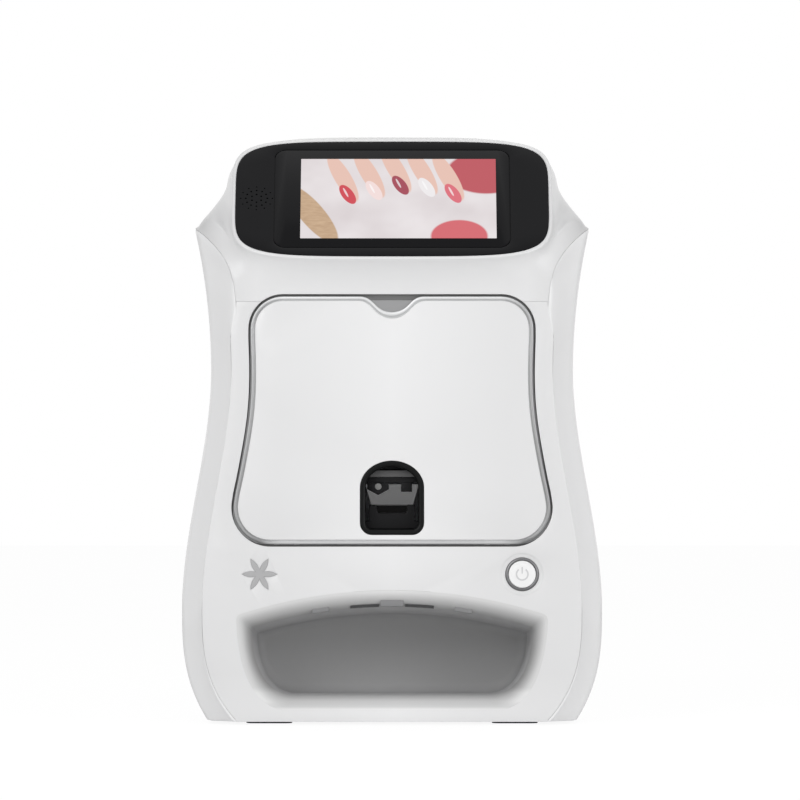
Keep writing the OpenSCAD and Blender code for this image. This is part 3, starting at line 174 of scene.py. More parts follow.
class Net:
    """Node tree of one material around its Principled shader."""

    def __init__(self, name: str) -> None:
        """Starts a material with a bare Principled shader.

        Args:
            name: The material's name.
        """
        self.material = bpy.data.materials.new(name)
        self.material.use_nodes = True
        self.tree = self.material.node_tree
        self.shader = self.tree.nodes["Principled BSDF"]
        self._where: Optional[Tone] = None

    def node(self, kind: str, settings: dict, sockets: dict, output: Union[int, str] = 0) -> Tone:
        """Adds one node.

        Args:
            kind: Blender's type name of the node.
            settings: Properties that are set first.
            sockets: Values or links by socket index or name.
            output: The output that is returned.

        Returns:
            The chosen output as a Tone.
        """
        made = self.tree.nodes.new(kind)
        for key, value in settings.items():
            setattr(made, key, value)
        for key, value in sockets.items():
            self.join(made.inputs[key], value)
        return Tone(self, made.outputs[output])

    def join(self, socket: bpy.types.NodeSocket, value: Value) -> None:
        """Links a Tone to a socket, or sets a constant on it.

        Args:
            socket: The input.
            value: The Tone, or the constant; a colour of three gets its alpha.
        """
        if isinstance(value, Tone):
            self.tree.links.new(value.socket, socket)
        elif socket.type == "RGBA" and len(value) == 3:
            socket.default_value = (*value, 1.0)
        else:
            socket.default_value = value

    def feed(self, **values: Value) -> None:
        """Sets inputs of the Principled shader; an underscore in a name stands for a space."""
        for key, value in values.items():
            self.join(self.shader.inputs[key.replace("_", " ")], value)

    def where(self) -> Tone:
        """Place on the piece in metres."""
        if self._where is None:
            self._where = self.node("ShaderNodeTexCoord", {}, {}, "Object")
        return self._where

    def axis(self, name: str) -> Tone:
        """One coordinate, X, Y or Z, of the place on the piece."""
        return self.node("ShaderNodeSeparateXYZ", {}, {0: self.where()}, name)

    def turned(self, rotation: tuple, scale: tuple = (1, 1, 1)) -> Tone:
        """Place on the piece after a Mapping node of kind Point."""
        return self.node("ShaderNodeMapping", {"vector_type": "POINT"},
                         {0: self.where(), "Rotation": rotation, "Scale": scale})

    def noise(self, scale: float, detail: float = 2.0, where: Optional[Tone] = None) -> Tone:
        """Noise value, scale cells to the metre."""
        return self.node("ShaderNodeTexNoise", {},
                         {"Vector": where or self.where(), "Scale": scale, "Detail": detail}, 0)

    def ramp(self, value: Value, stops: Sequence[tuple[float, float]]) -> Tone:
        """Grey ramp.

        Args:
            value: What runs along the ramp.
            stops: The ramp's stops, each as position and level.

        Returns:
            The level.
        """
        made = self.tree.nodes.new("ShaderNodeValToRGB")
        bar = made.color_ramp.elements
        while len(bar) < len(stops):
            bar.new(0.5)
        for element, (position, level) in zip(bar, stops):
            element.position = position
            element.color = (level, level, level, 1.0)
        self.join(made.inputs[0], value)
        return Tone(self, made.outputs[0])

    def mix(self, share: Value, low: Value, high: Value) -> Tone:
        """Colour between two.

        Args:
            share: 0 gives low and 1 gives high.
            low: The first colour.
            high: The second colour.

        Returns:
            The mixed colour.
        """
        made = self.tree.nodes.new("ShaderNodeMix")
        made.data_type = "RGBA"
        for socket, value in zip((made.inputs[0], made.inputs[6], made.inputs[7]), (share, low, high)):
            self.join(socket, value)
        return Tone(self, made.outputs[2])

    def graded(self, color: Tone, grades: Sequence["Grade"]) -> Tone:
        """A colour darkened by every grade in turn: painted light and shade."""
        for grade in grades:
            color = self.mix(grade.level(self), (0.0, 0.0, 0.0), color)
        return color

    def bump(self, height: Value, strength: float, depth_mm: float) -> None:
        """Feeds a Bump of the height to the shader's normal."""
        self.feed(Normal=self.node("ShaderNodeBump", {},
                                   {"Height": height, "Strength": strength, "Distance": depth_mm * MM}))


def shade(color: Color, factor: float) -> Color:
    """A colour made lighter or darker by a factor."""
    return tuple(min(1.0, c * factor) for c in color)


@dataclass(frozen=True)
class Grade:
    """Painted light and shade: a finish's colour made lighter or darker along one direction, such as painted shade in a
    recess or a painted sheen.
    """

    along: tuple
    start: float
    run: float
    stops: tuple

    def level(self, net: Net) -> Tone:
        """Lightness at a place, from stops over the run, which begins at start, both in millimetres."""
        there = self.along[0] * net.axis("X") + self.along[1] * net.axis("Y") + self.along[2] * net.axis("Z")
        return net.ramp((there - self.start * MM) * (1 / (self.run * MM)), self.stops)


@dataclass(frozen=True)
class Moulded:
    """Moulded or painted plastic: slight flow marks, a fine skin grain, uneven gloss, painted light and shade from its
    grades and, where set, a faint painted glow.
    """

    name: str
    color: Color
    rough: float = 0.35
    mottle: float = 0.02
    grain: float = 0.1
    grain_mm: float = 0.5
    coat: float = 0.0
    shine: float = 0.5
    glow: float = 0.0
    grades: tuple = ()

    def build(self) -> bpy.types.Material:
        """Makes the material.

        Returns:
            The material.
        """
        net = Net(self.name)
        flow = net.noise(14, 3)
        grain = net.noise(1000 / self.grain_mm, 2)
        color = net.mix(flow, shade(self.color, 1 - self.mottle), shade(self.color, 1 + self.mottle))
        # Painted light and shade: the grades lighten or darken the colour by place.
        color = net.graded(color, self.grades)
        net.feed(Base_Color=color, Roughness=self.rough + (net.noise(45, 3) - 0.5) * 0.08 + (grain - 0.5) * 0.05,
                 Coat_Weight=self.coat, Coat_Roughness=0.08, Specular_IOR_Level=self.shine)
        # Painted light: emission on a part that is no lamp.
        if self.glow:
            net.feed(Emission_Color=color, Emission_Strength=self.glow)
        net.bump(grain + flow * 0.4, self.grain, 0.04)
        return net.material


@dataclass(frozen=True)
class Metal:
    """Drawn, ground or brushed metal with streaks along one axis, and painted light and shade from its grades."""

    name: str
    color: Color
    rough: float = 0.3
    streak: tuple = (1.0, 1.0, 1.0)
    grain: float = 0.15
    grades: tuple = ()

    def build(self) -> bpy.types.Material:
        """Makes the material.

        Returns:
            The material.
        """
        net = Net(self.name)
        drawn = net.noise(900, 3, net.turned((0, 0, 0), self.streak))
        cloud = net.noise(30, 4)
        # Painted light and shade: the grades lighten or darken the colour by place.
        color = net.graded(net.mix(drawn, shade(self.color, 0.92), shade(self.color, 1.05)), self.grades)
        net.feed(Base_Color=color, Metallic=1.0,
                 Roughness=self.rough + (drawn - 0.5) * 0.12 + (cloud - 0.5) * 0.1)
        net.bump(drawn, self.grain, 0.02)
        return net.material


@dataclass(frozen=True)
class Rubber:
    """Matt rubber with a dusty, pitted skin."""

    name: str
    color: Color

    def build(self) -> bpy.types.Material:
        """Makes the material.

        Returns:
            The material.
        """
        net = Net(self.name)
        pits = net.noise(1400, 3)
        net.feed(Base_Color=net.mix(net.noise(60, 3), self.color, shade(self.color, 1.7)),
                 Roughness=0.72 + (pits - 0.5) * 0.2)
        net.bump(pits, 0.3, 0.05)
        return net.material


@dataclass(frozen=True)
class CircuitBoard:
    """Green lacquered board with fine tracks."""

    name: str = "lacquered_board"

    def build(self) -> bpy.types.Material:
        """Makes the material.

        Returns:
            The material.
        """
        net = Net(self.name)
        cells = net.node("ShaderNodeTexBrick", {"offset": 0.5}, {
            "Vector": net.turned((math.radians(90), 0, 0)), "Scale": 60, "Mortar Size": 0.03,
            "Color1": (0.0, 0.0, 0.0), "Color2": (0.2, 0.2, 0.2), "Mortar": (1.0, 1.0, 1.0)})
        net.feed(Base_Color=net.mix(cells, (0.01, 0.12, 0.045), (0.05, 0.28, 0.1)),
                 Roughness=0.3 + net.noise(300) * 0.1)
        net.bump(cells, 0.2, 0.04)
        return net.material


@dataclass(frozen=True)
class Picture:
    """Lit screen with a generic design of nails on a pale ground, seen in the screen's own plane."""

    name: str = "lit_picture"
    centre: tuple = (0.0, 0.0, 0.0)
    tilt: float = 0.0
    size: Pair = (153.6, 86.2)
    nails: tuple = ((0.62, 0.02, 0.04), (0.9, 0.72, 0.7), (0.35, 0.02, 0.05), (0.86, 0.83, 0.84), (0.72, 0.12, 0.16))
    skin: Color = (0.8, 0.52, 0.43)
    lean: float = 0.22

    def build(self) -> bpy.types.Material:
        """Makes the material.

        Returns:
            The material.
        """
        net = Net(self.name)
        flat = net.node("ShaderNodeMapping", {"vector_type": "TEXTURE"}, {
            0: net.where(), "Location": self.centre, "Rotation": (-self.tilt, 0, 0),
            "Scale": (self.size[0] / 2 * MM, 1, self.size[1] / 2 * MM)})
        x = net.node("ShaderNodeSeparateXYZ", {}, {0: flat}, "X")
        y = net.node("ShaderNodeSeparateXYZ", {}, {0: flat}, "Z")
        ground = net.mix(net.noise(26, 2), (0.62, 0.55, 0.56), (0.9, 0.86, 0.87))
        image = net.mix(self._spot(net, x, y, (0.9, 0.65), (0.42, 0.55), 0.0), ground, (0.5, 0.05, 0.07))
        image = net.mix(self._spot(net, x, y, (0.62, -0.95), (0.3, 0.42), 0.0), image, (0.66, 0.1, 0.12))
        wood = net.mix(net.noise(160, 4, net.turned((0, 0, 0.6), (1, 5, 1))), (0.42, 0.25, 0.13), (0.66, 0.46, 0.28))
        image = net.mix(self._spot(net, x, y, (-0.88, -0.4), (0.16, 0.75), 0.3), image, wood)
        for i, color in enumerate(self.nails):
            middle = (-0.52 + 0.27 * i, 0.22 - 0.12 * math.cos(i * 1.4))
            finger = self._spot(net, x, y, (middle[0] - 0.05, middle[1] + 0.42), (0.1, 0.62), self.lean)
            glint = self._spot(net, x, y, (middle[0] - 0.02, middle[1] + 0.05), (0.012, 0.12), self.lean)
            image = net.mix(finger, image, self.skin)
            image = net.mix(self._spot(net, x, y, middle, (0.072, 0.25), self.lean), image, color)
            image = net.mix(glint * 0.6, image, (1.0, 1.0, 1.0))
        net.feed(Base_Color=(0.01, 0.01, 0.012), Emission_Color=image, Emission_Strength=0.92,
                 Roughness=0.12 + net.noise(700) * 0.02)
        return net.material

    def _spot(self, net: Net, x: Tone, y: Tone, centre: Pair, half: Pair, lean: float) -> Tone:
        """Soft-edged oval of the design.

        Args:
            net: The material's net.
            x: Coordinate across, 1 at the picture's edge.
            y: Coordinate up, 1 at the picture's edge.
            centre: Middle of the oval.
            half: Half sizes of the oval.
            lean: How far the oval leans, in widths per height.

        Returns:
            1 inside the oval and 0 outside.
        """
        dx = (x - centre[0] + (y - centre[1]) * lean) * (1 / half[0])
        dy = (y - centre[1]) * (1 / half[1])
        away = dx * dx + dy * dy
        return net.ramp(away, [(0.0, 1.0), (0.86, 1.0), (1.0, 0.0)])


BEHIND_FACE = (0.0, 0.9983, -0.058)
FACE_PLANE = -149.89
ACROSS = (1.0, 0.0, 0.0)
UPWARD = (0.0, 0.0, 1.0)
# Painted shade: the front darkens with depth behind the face, standing in for shade in the door gap.
GAP_PAINTED_SHADE = Grade(BEHIND_FACE, FACE_PLANE, 6.0, ((0.0, 1.0), (0.5, 1.0), (0.75, 0.4), (0.95, 0.24)))
# Painted shade: the lip roll darkens with depth into the hollow's mouth.
LIP_PAINTED_SHADE = Grade(BEHIND_FACE, FACE_PLANE, 13.0, ((0.0, 0.97), (0.02, 0.88), (0.06, 0.78), (0.12, 0.7), (0.2, 0.64),
                                               (0.4, 0.56), (1.0, 0.48)))
# Painted light and shade on the lip by height: a painted highlight at the mouth's bottom edge, a darker band above it,
# lighter again, then darker higher up.
LIP_FOOT_PAINTED_LIGHT = Grade(UPWARD, 10.0, 20.0, ((0.0, 1.0), (0.1, 1.0), (0.2, 0.84), (0.28, 0.88), (0.42, 1.0), (0.75, 1.0),
                                      (0.95, 0.86)))
# Painted light: the front is lighter near its foot and darker higher up.
FRONT_FOOT_PAINTED_LIGHT = Grade(UPWARD, 10.0, 30.0, ((0.0, 1.0), (1.0, 0.94)))
# The hollow's grey, with painted shade: lighter at the bottom and darker towards the top.
HOLLOW_GREY_AND_PAINTED_SHADE = Grade(UPWARD, 18.0, 78.0, ((0.0, 0.82), (0.4, 0.76), (1.0, 0.64)))
# Painted light and shade in the hollow by depth: darker near the mouth and at the very back, lighter between.
HOLLOW_DEPTH_PAINTED_SHADE = Grade(BEHIND_FACE, FACE_PLANE, 130.0, ((0.1, 0.76), (0.3, 0.85), (0.8, 1.0), (0.93, 0.76)))
# Painted shade: the hollow is darker at its sides.
HOLLOW_SIDE_PAINTED_SHADE = Grade(ACROSS, -125.0, 250.0, ((0.05, 0.82), (0.075, 1.0), (0.925, 1.0), (0.95, 0.82)))
# Painted sheen: lighter across the middle, darker towards the sides.
CENTRE_PAINTED_SHEEN = Grade(ACROSS, -150.0, 300.0, ((0.0, 0.91), (0.2, 0.91), (0.5, 1.0), (0.8, 0.91)))
# Painted shade: the finger stop is nearly black below a line, so only its upper part shows painted light.
STOP_LOW_PAINTED_SHADE = Grade(UPWARD, 160.0, 20.0, ((0.45, 0.04), (0.52, 1.0)))
# Painted shade: the trim is darker at its sides.
TRIM_SIDE_PAINTED_SHADE = Grade(ACROSS, -125.0, 250.0, ((0.08, 0.62), (0.16, 1.0), (0.84, 1.0), (0.92, 0.62)))
# Painted light: the trim is lighter towards its top.
TRIM_TOP_PAINTED_LIGHT = Grade(UPWARD, 160.0, 160.0, ((0.0, 0.78), (1.0, 1.0)))
# Painted light: the side shells are lighter near the floor and darker higher up.
SIDE_FOOT_PAINTED_LIGHT = Grade(UPWARD, 0.0, 120.0, ((0.0, 1.0), (0.35, 0.97), (1.0, 0.92)))
# Painted shade: the head cover is darker out at the shoulders.
SHOULDER_PAINTED_SHADE = Grade(ACROSS, -165.0, 330.0, ((0.05, 0.74), (0.098, 0.9), (0.18, 1.0), (0.82, 1.0), (0.902, 0.9),
                                             (0.95, 0.74)))


class Finish(Enum):
    """Every finish on the printer."""

    # Painted shade at the shoulders.
    SHELL = Moulded("pearl_white_shell", (0.83, 0.83, 0.835), rough=0.33, mottle=0.006, grain=0.05, coat=0.15,
                    grades=(SHOULDER_PAINTED_SHADE,))
    # Painted shade in the door gap, painted sheen across the middle and painted light near the foot.
    FRONT = Moulded("pearl_white_front", (0.95, 0.95, 0.955), rough=0.33, mottle=0.006, grain=0.05, coat=0.15,
                    grades=(GAP_PAINTED_SHADE, CENTRE_PAINTED_SHEEN, FRONT_FOOT_PAINTED_LIGHT))
    # Painted light near the foot of the side shells.
    SIDE = Moulded("satin_white_side", (0.93, 0.93, 0.935), rough=0.38, mottle=0.006, grain=0.06, coat=0.5,
                   grades=(SIDE_FOOT_PAINTED_LIGHT,))
    # Painted sheen across the middle of the door.
    DOOR = Moulded("gloss_white_door", (0.91, 0.91, 0.915), rough=0.24, mottle=0.005, grain=0.03, coat=0.25,
                   grades=(CENTRE_PAINTED_SHEEN,))
    # Painted shade inside the lip, painted light and shade bands at its foot and a painted sheen across the middle.
    LIP = Moulded("shaded_lip", (0.99, 0.99, 0.99), rough=0.4, mottle=0.01, grain=0.05,
                  grades=(LIP_PAINTED_SHADE, LIP_FOOT_PAINTED_LIGHT, CENTRE_PAINTED_SHEEN))
    BEZEL = Moulded("piano_black_bezel", (0.005, 0.005, 0.006), rough=0.2, mottle=0.1, grain=0.02, shine=0.1)
    WINDOW = Moulded("black_window_bezel", (0.006, 0.0065, 0.0065), rough=0.28, mottle=0.1, grain=0.05, shine=0.12)
    LENS = Moulded("dark_touch_lens", (0.005, 0.005, 0.006), rough=0.14, mottle=0.05, grain=0.01, shine=0.1)
    # White liner whose grey and shading come from its grades: painted shade by height, by depth and at the sides.
    HOLLOW = Moulded("grey_hollow_liner", (0.95, 0.95, 0.955), rough=0.6, mottle=0.01, grain=0.2, shine=0.3,
                     grades=(HOLLOW_GREY_AND_PAINTED_SHADE, HOLLOW_DEPTH_PAINTED_SHADE, HOLLOW_SIDE_PAINTED_SHADE))
    BASE = Moulded("grey_base", (0.3, 0.3, 0.305), rough=0.5, mottle=0.02, grain=0.3, grain_mm=0.8)
    INNER = Moulded("light_grey_moulding", (0.34, 0.34, 0.345), rough=0.45, mottle=0.02, grain=0.2)
    CATCH = Moulded("mid_grey_moulding", (0.24, 0.24, 0.245), rough=0.5, mottle=0.02, grain=0.1)
    ROSETTE = Moulded("grey_rosette", (0.47, 0.47, 0.475), rough=0.4, mottle=0.02, grain=0.06, shine=0.3)
    CAP = Moulded("bright_button_cap", (0.97, 0.97, 0.97), rough=0.3, mottle=0.005, grain=0.03, coat=0.2)
    MARK = Moulded("grey_button_mark", (0.68, 0.68, 0.69), rough=0.4, mottle=0.02, grain=0.05)
    BAY = Moulded("matt_black_moulding", (0.012, 0.012, 0.013), rough=0.5, mottle=0.1, grain=0.2, shine=0.12)
    # Painted light: the finger stop glows faintly, though it is no lamp, and is nearly black below a line.
    STOP = Moulded("painted_glow_moulding", (0.95, 0.95, 0.95), rough=0.6, mottle=0.01, grain=0.1, shine=0.3, glow=0.1,
                   grades=(STOP_LOW_PAINTED_SHADE,))
    DIM = Moulded("dim_grey_moulding", (0.13, 0.13, 0.132), rough=0.5, mottle=0.02, grain=0.1, shine=0.3)
    DARK = Moulded("dark_moulding", (0.03, 0.03, 0.032), rough=0.42, mottle=0.06, grain=0.25)
    BLOCK = Moulded("dark_grey_moulding", (0.075, 0.077, 0.08), rough=0.45, mottle=0.05, grain=0.25)
    LATCH = Moulded("blue_latch", (0.02, 0.09, 0.36), rough=0.32, mottle=0.03, grain=0.1)
    INK = Moulded("cartridge_body", (0.035, 0.04, 0.045), rough=0.36, mottle=0.05, grain=0.2)
    ROCKER = Moulded("red_rocker", (0.45, 0.02, 0.015), rough=0.25, mottle=0.03, grain=0.05, coat=0.2)
    EYE = Moulded("grey_camera_eye", (0.24, 0.24, 0.235), rough=0.3, mottle=0.01, grain=0.02, shine=0.3)
    # Painted shade at the trim's sides and painted light towards its top.
    TRIM = Metal("satin_silver_trim", (0.66, 0.665, 0.67), rough=0.44, grain=0.06,
                 grades=(TRIM_SIDE_PAINTED_SHADE, TRIM_TOP_PAINTED_LIGHT))
    SMOKE = Metal("smoked_chrome_ring", (0.2, 0.2, 0.205), rough=0.34, grain=0.03)
    SHEET = Metal("zinc_sheet", (0.6, 0.61, 0.63), rough=0.38, streak=(0.08, 1, 1), grain=0.2)
    ROD = Metal("ground_rod", (0.78, 0.78, 0.8), rough=0.16, streak=(0.2, 0.2, 1), grain=0.05)
    BRONZE = Metal("sintered_bronze", (0.6, 0.4, 0.17), rough=0.42, grain=0.3)
    RUBBER = Rubber("black_rubber", (0.012, 0.012, 0.012))
    BOARD = CircuitBoard()

    @property
    def material(self) -> bpy.types.Material:
        """The finish's material, made once."""
        made = bpy.data.materials.get(self.value.name)
        return made or self.value.build()


# ---- Meshes ----


class Shape:
    """A mesh under work, in millimetres; faces larger than flat_area keep their flat shading."""

    flat_area = 400.0

    def __init__(self) -> None:
        """Starts an empty mesh."""
        self.bm = bmesh.new()

    @classmethod
    def sheet(cls, across: int, along: int, place: Place) -> "Shape":
        """A grid whose points are moved to a surface.

        Args:
            across: Number of cells in the first direction.
            along: Number of cells in the second direction.
            place: Gives the point for two numbers between 0 and 1.

        Returns:
            The shaped grid.
        """
        shape = cls()
        bmesh.ops.create_grid(shape.bm, x_segments=across, y_segments=along, size=0.5)
        for v in shape.bm.verts:
            v.co = place(round((v.co.x + 0.5) * across) / across, round((v.co.y + 0.5) * along) / along)
        return shape

    @classmethod
    def prism(cls, outlines: Sequence[Sequence[Vector]], near: float, far: float) -> "Shape":
        """A plate in the XZ plane with holes.

        Args:
            outlines: The outer outline, then the holes.
            near: Y of the front.
            far: Y of the back.

        Returns:
            The plate.
        """
        shape = cls()
        bm = shape.bm
        for outline in outlines:
            verts = [bm.verts.new((p.x, near, p.y)) for p in outline]
            for i, v in enumerate(verts):
                bm.edges.new((verts[i - 1], v))
        bmesh.ops.triangle_fill(bm, use_beauty=True, edges=bm.edges[:], normal=(0, -1, 0))
        made = bmesh.ops.extrude_face_region(bm, geom=bm.faces[:])["geom"]
        bmesh.ops.translate(bm, vec=(0, far - near, 0), verts=[g for g in made if isinstance(g, bmesh.types.BMVert)])
        return shape.outward()

    @classmethod
    def lathe(cls, profile: Sequence[Pair], count: int = 64) -> "Shape":
        """A turned form about the Y axis.

        Args:
            profile: The section's corners, each as radius and depth.
            count: Number of steps in a whole turn.

        Returns:
            The turned form.
        """
        shape = cls()
        bm = shape.bm
        verts = [bm.verts.new((r, y, 0)) for r, y in profile]
        edges = [bm.edges.new(pair) for pair in zip(verts, verts[1:])]
        bmesh.ops.spin(bm, geom=verts + edges, cent=(0, 0, 0), axis=(0, 1, 0), angle=FULL_TURN, steps=count,
                       use_merge=True, use_duplicate=False)
        return shape.weld().outward()

    @classmethod
    def copy_of(cls, node: str) -> "Shape":
        """A merged copy of a CAD node's mesh with its flats made whole.

        Args:
            node: The CAD node.

        Returns:
            The copy, in millimetres.
        """
        shape = cls()
        bm = shape.bm
        bm.from_mesh(frame["nodes"][node].data)
        bmesh.ops.scale(bm, vec=(1 / MM,) * 3, verts=bm.verts[:])
        bmesh.ops.remove_doubles(bm, verts=bm.verts[:], dist=0.004)
        bmesh.ops.dissolve_limit(bm, angle_limit=math.radians(0.6), use_dissolve_boundaries=False,
                                 verts=bm.verts[:], edges=bm.edges[:], delimit=set())
        return shape

    def weld(self, distance: float = 0.002) -> "Shape":
        """Merges points that lie together."""
        bmesh.ops.remove_doubles(self.bm, verts=self.bm.verts[:], dist=distance)
        return self

    def outward(self) -> "Shape":
        """Points every face out."""
        bmesh.ops.recalc_face_normals(self.bm, faces=self.bm.faces[:])
        return self

    def wall(self, thickness: float) -> "Shape":
        """Gives a sheet its wall, behind its faces."""
        bmesh.ops.solidify(self.bm, geom=self.bm.faces[:], thickness=thickness)
        return self.outward()

    def soften(self, width: float, segments: int = 2, least: float = 40.0,
               chosen: Optional[Callable[[Vector], bool]] = None) -> "Shape":
        """Rounds sharp edges.

        Args:
            width: Width of the rounding.
            segments: Number of strips across it.
            least: Least angle between faces, in degrees, that counts as sharp.
            chosen: Keeps the edges whose middle it accepts.

        Returns:
            The same shape.
        """
        sharp = [e for e in self.bm.edges if len(e.link_faces) == 2
                 and e.calc_face_angle(0.0) > math.radians(least)
                 and (chosen is None or chosen((e.verts[0].co + e.verts[1].co) / 2))]
        bmesh.ops.bevel(self.bm, geom=sharp, offset=width, offset_type="OFFSET", affect="EDGES",
                        segments=segments, profile=0.5, material=-1, clamp_overlap=False)
        return self

    def moved(self, matrix: Matrix) -> "Shape":
        """Places the shape by a matrix."""
        bmesh.ops.transform(self.bm, matrix=matrix, verts=self.bm.verts[:])
        return self

    def with_mirror(self) -> "Shape":
        """Adds the mirror image in X and points every face out."""
        bmesh.ops.mirror(self.bm, geom=self.bm.verts[:] + self.bm.edges[:] + self.bm.faces[:],
                         merge_dist=0.001, axis="X", mirror_u=False, mirror_v=False)
        return self.outward()

    def joined(self, *others: "Shape") -> "Shape":
        """Takes in the meshes of other shapes, which are used up.

        Args:
            others: The other shapes.

        Returns:
            The same shape.
        """
        for other in others:
            data = bpy.data.meshes.new("part")
            other.bm.to_mesh(data)
            other.bm.free()
            self.bm.from_mesh(data)
            bpy.data.meshes.remove(data)
        return self

    def piece(self, name: str, body: str, slot: str, finish: Union[Finish, bpy.types.Material],
              replaces: Sequence[str] = (), crease: float = 32.0) -> bpy.types.Object:
        """Finishes the mesh as one piece of the printer.

        Args:
            name: The piece's name.
            body: The CAD body that it rides on.
            slot: The record's material slot; not used.
            finish: Its finish, or a material of its own.
            replaces: CAD nodes that it stands for.
            crease: Angle in degrees above which an edge stays sharp.

        Returns:
            The new object.
        """
        bmesh.ops.scale(self.bm, vec=(MM,) * 3, verts=self.bm.verts[:])
        data = bpy.data.meshes.new(name)
        for f in self.bm.faces:
            f.smooth = True
        for e in self.bm.edges:
            bend = math.degrees(e.calc_face_angle(0.0)) if len(e.link_faces) == 2 else 0.0
            flat = bend > 5 and max(f.calc_area() for f in e.link_faces) > self.flat_area * MM * MM
            e.smooth = bend < crease and not flat
        self.bm.to_mesh(data)
        self.bm.free()
        data.materials.append(finish.material if isinstance(finish, Finish) else finish)
        made = bpy.data.objects.new(name, data)
        bpy.context.scene.collection.objects.link(made)
        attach(made, body)
        if replaces:
            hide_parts(*replaces)
        LOG.info("%s: %d faces on %s", name, len(data.polygons), body)
        return made


# ---- Form of the housing ----


@dataclass(frozen=True)
class Station:
    """One place on the way round the shell's plan, from the front crease to the rear panel."""

    part: int
    t: float


@dataclass(frozen=True)
class Form:
    """Sizes of the moulded housing and the surfaces that follow from them.

    The widths belong to the silhouette, from the foot over the bulge and the waist to the shoulder. Each swell of
    the door's sides is a width, a height and a run.
    """

    foot_h: float = 2.4
    bulge_w: float = 328.84
    bulge_z: float = 90.0
    waist_w: float = 284.0
    waist_z: float = 276.0
    shoulder_w: float = 308.8
    shoulder_z: float = 387.5
    base_w: float = 284.5
    base_power: float = 2.7
    depth: float = 300.0
    face_lean: float = 19.0
    band_w: float = 16.5
    band_foot: float = 5.5
    band_neck: float = 6.5
    neck_run: float = 30.0
    band_d: float = 28.0
    knee_share: float = 0.72
    side_taper: float = 6.0
    rear_r: float = 35.0
    edge_round: float = 2.6
    band_bow: float = 1.2
    wall: float = 3.0
    seam_z: float = 329.6
    seam_rise: float = 14.4
    tip_share: float = 0.94
    rise_power: float = 0.55
    gap: float = 0.1
    rear_drop: float = 2.0
    door_z: float = 138.5
    door_h: float = 196.9
    door_margin: float = 13.9
    door_low_r: float = 30.5
    door_top_r: float = 27.0
    door_gap: float = 1.8
    door_swells: tuple = ((1.0, 163.0, 22.0), (-0.6, 240.0, 30.0))
    notch_w: float = 19.4
    notch_d: float = 19.6
    notch_top_r: float = 13.5
    notch_low_r: float = 17.5

    @property
    def lean(self) -> float:
        """Lean of the front face in radians."""
        return math.atan(self.face_lean / (self.seam_z - self.foot_h))

    @property
    def rise_z(self) -> float:
        """Height where the shell's top edge leaves the front crease."""
        return self.seam_z + self.seam_rise

    @property
    def door_top(self) -> float:
        """Height of the door opening's top edge."""
        return self.door_z + self.door_h

    @property
    def rear_z(self) -> float:
        """Height of the shell's top edge at the rear."""
        return self.shoulder_z - self.rear_drop

    @property
    def face(self) -> Matrix:
        """Places the front's own frame: X right, Y into the housing, Z up the slope."""
        return Matrix.Translation((0, -self.depth / 2, self.foot_h)) @ Matrix.Rotation(-self.lean, 4, "X")

    def up(self, z: float) -> float:
        """Height z measured up the slope of the front."""
        return (z - self.foot_h) / math.cos(self.lean)

    def side_w(self, z: float) -> float:
        """Half width of the silhouette.

        Args:
            z: The height.

        Returns:
            The half width.
        """
        if z < self.bulge_z:
            share = (self.bulge_z - z) / (self.bulge_z - self.foot_h)
            return self.bulge_w / 2 - (self.bulge_w - self.base_w) / 2 * max(0.0, share) ** self.base_power
        if z < self.waist_z:
            return self.bulge_w / 2 - (self.bulge_w - self.waist_w) / 2 * ease(
                (z - self.bulge_z) / (self.waist_z - self.bulge_z))
        return self.waist_w / 2 + (self.shoulder_w - self.waist_w) / 2 * (
            (z - self.waist_z) / (self.shoulder_z - self.waist_z)) ** 2

    def face_w(self, z: float) -> float:
        """Half width of the front face."""
        foot = max(0.0, self.bulge_z - z) / (self.bulge_z - self.foot_h)
        return (self.side_w(z) - self.band_w - self.band_foot * foot ** 4
                - self.band_neck * ease((z - self.seam_z + self.neck_run) / self.neck_run))

    def neck_strip(self, z: float) -> float:
        """Width of the strip beside the seam that lies nearly in the front's plane."""
        return self.band_neck * (ease((z - self.seam_z + self.neck_run) / self.neck_run)
                                 - ease((z - self.seam_z) / self.neck_run))

    def face_y(self, z: float) -> float:
        """Y of the front face."""
        return -self.depth / 2 + (z - self.foot_h) * math.tan(self.lean)

    def plan(self, station: Station, z: float) -> Vector:
        """Outer point of the shell: the hollowed band, the turn into the flank, the flank or the rear corner.

        Args:
            station: The place on the way round.
            z: The height.

        Returns:
            The point.
        """
        w, f, y0 = self.side_w(z), self.face_w(z), self.face_y(z)
        crease = Vector((f, y0))
        knee = Vector((w - self.edge_round, y0 + self.knee_share * self.band_d))
        turn = knee + (knee - crease) * self.edge_round / (knee.x - f)
        flank = Vector((w, y0 + self.band_d + 2))
        back = Vector((w - self.side_taper, self.depth / 2 - self.rear_r))
        t = station.t
        if station.part == 0:
            bend, s = crease + Vector((self.neck_strip(z), 0)), math.sqrt(t)
            p = lerp(lerp(crease, bend, s), lerp(bend, knee, s), s)
            p += (knee - crease).orthogonal().normalized() * self.band_bow * 4 * t * (1 - t)
        elif station.part == 1:
            p = lerp(lerp(knee, turn, t), lerp(turn, flank, t), t)
        elif station.part == 2:
            p = lerp(flank, back, t)
        else:
            a = math.radians(90) * t
            p = back + self.rear_r * Vector((math.cos(a) - 1, math.sin(a)))
        return Vector((p.x, p.y, z))

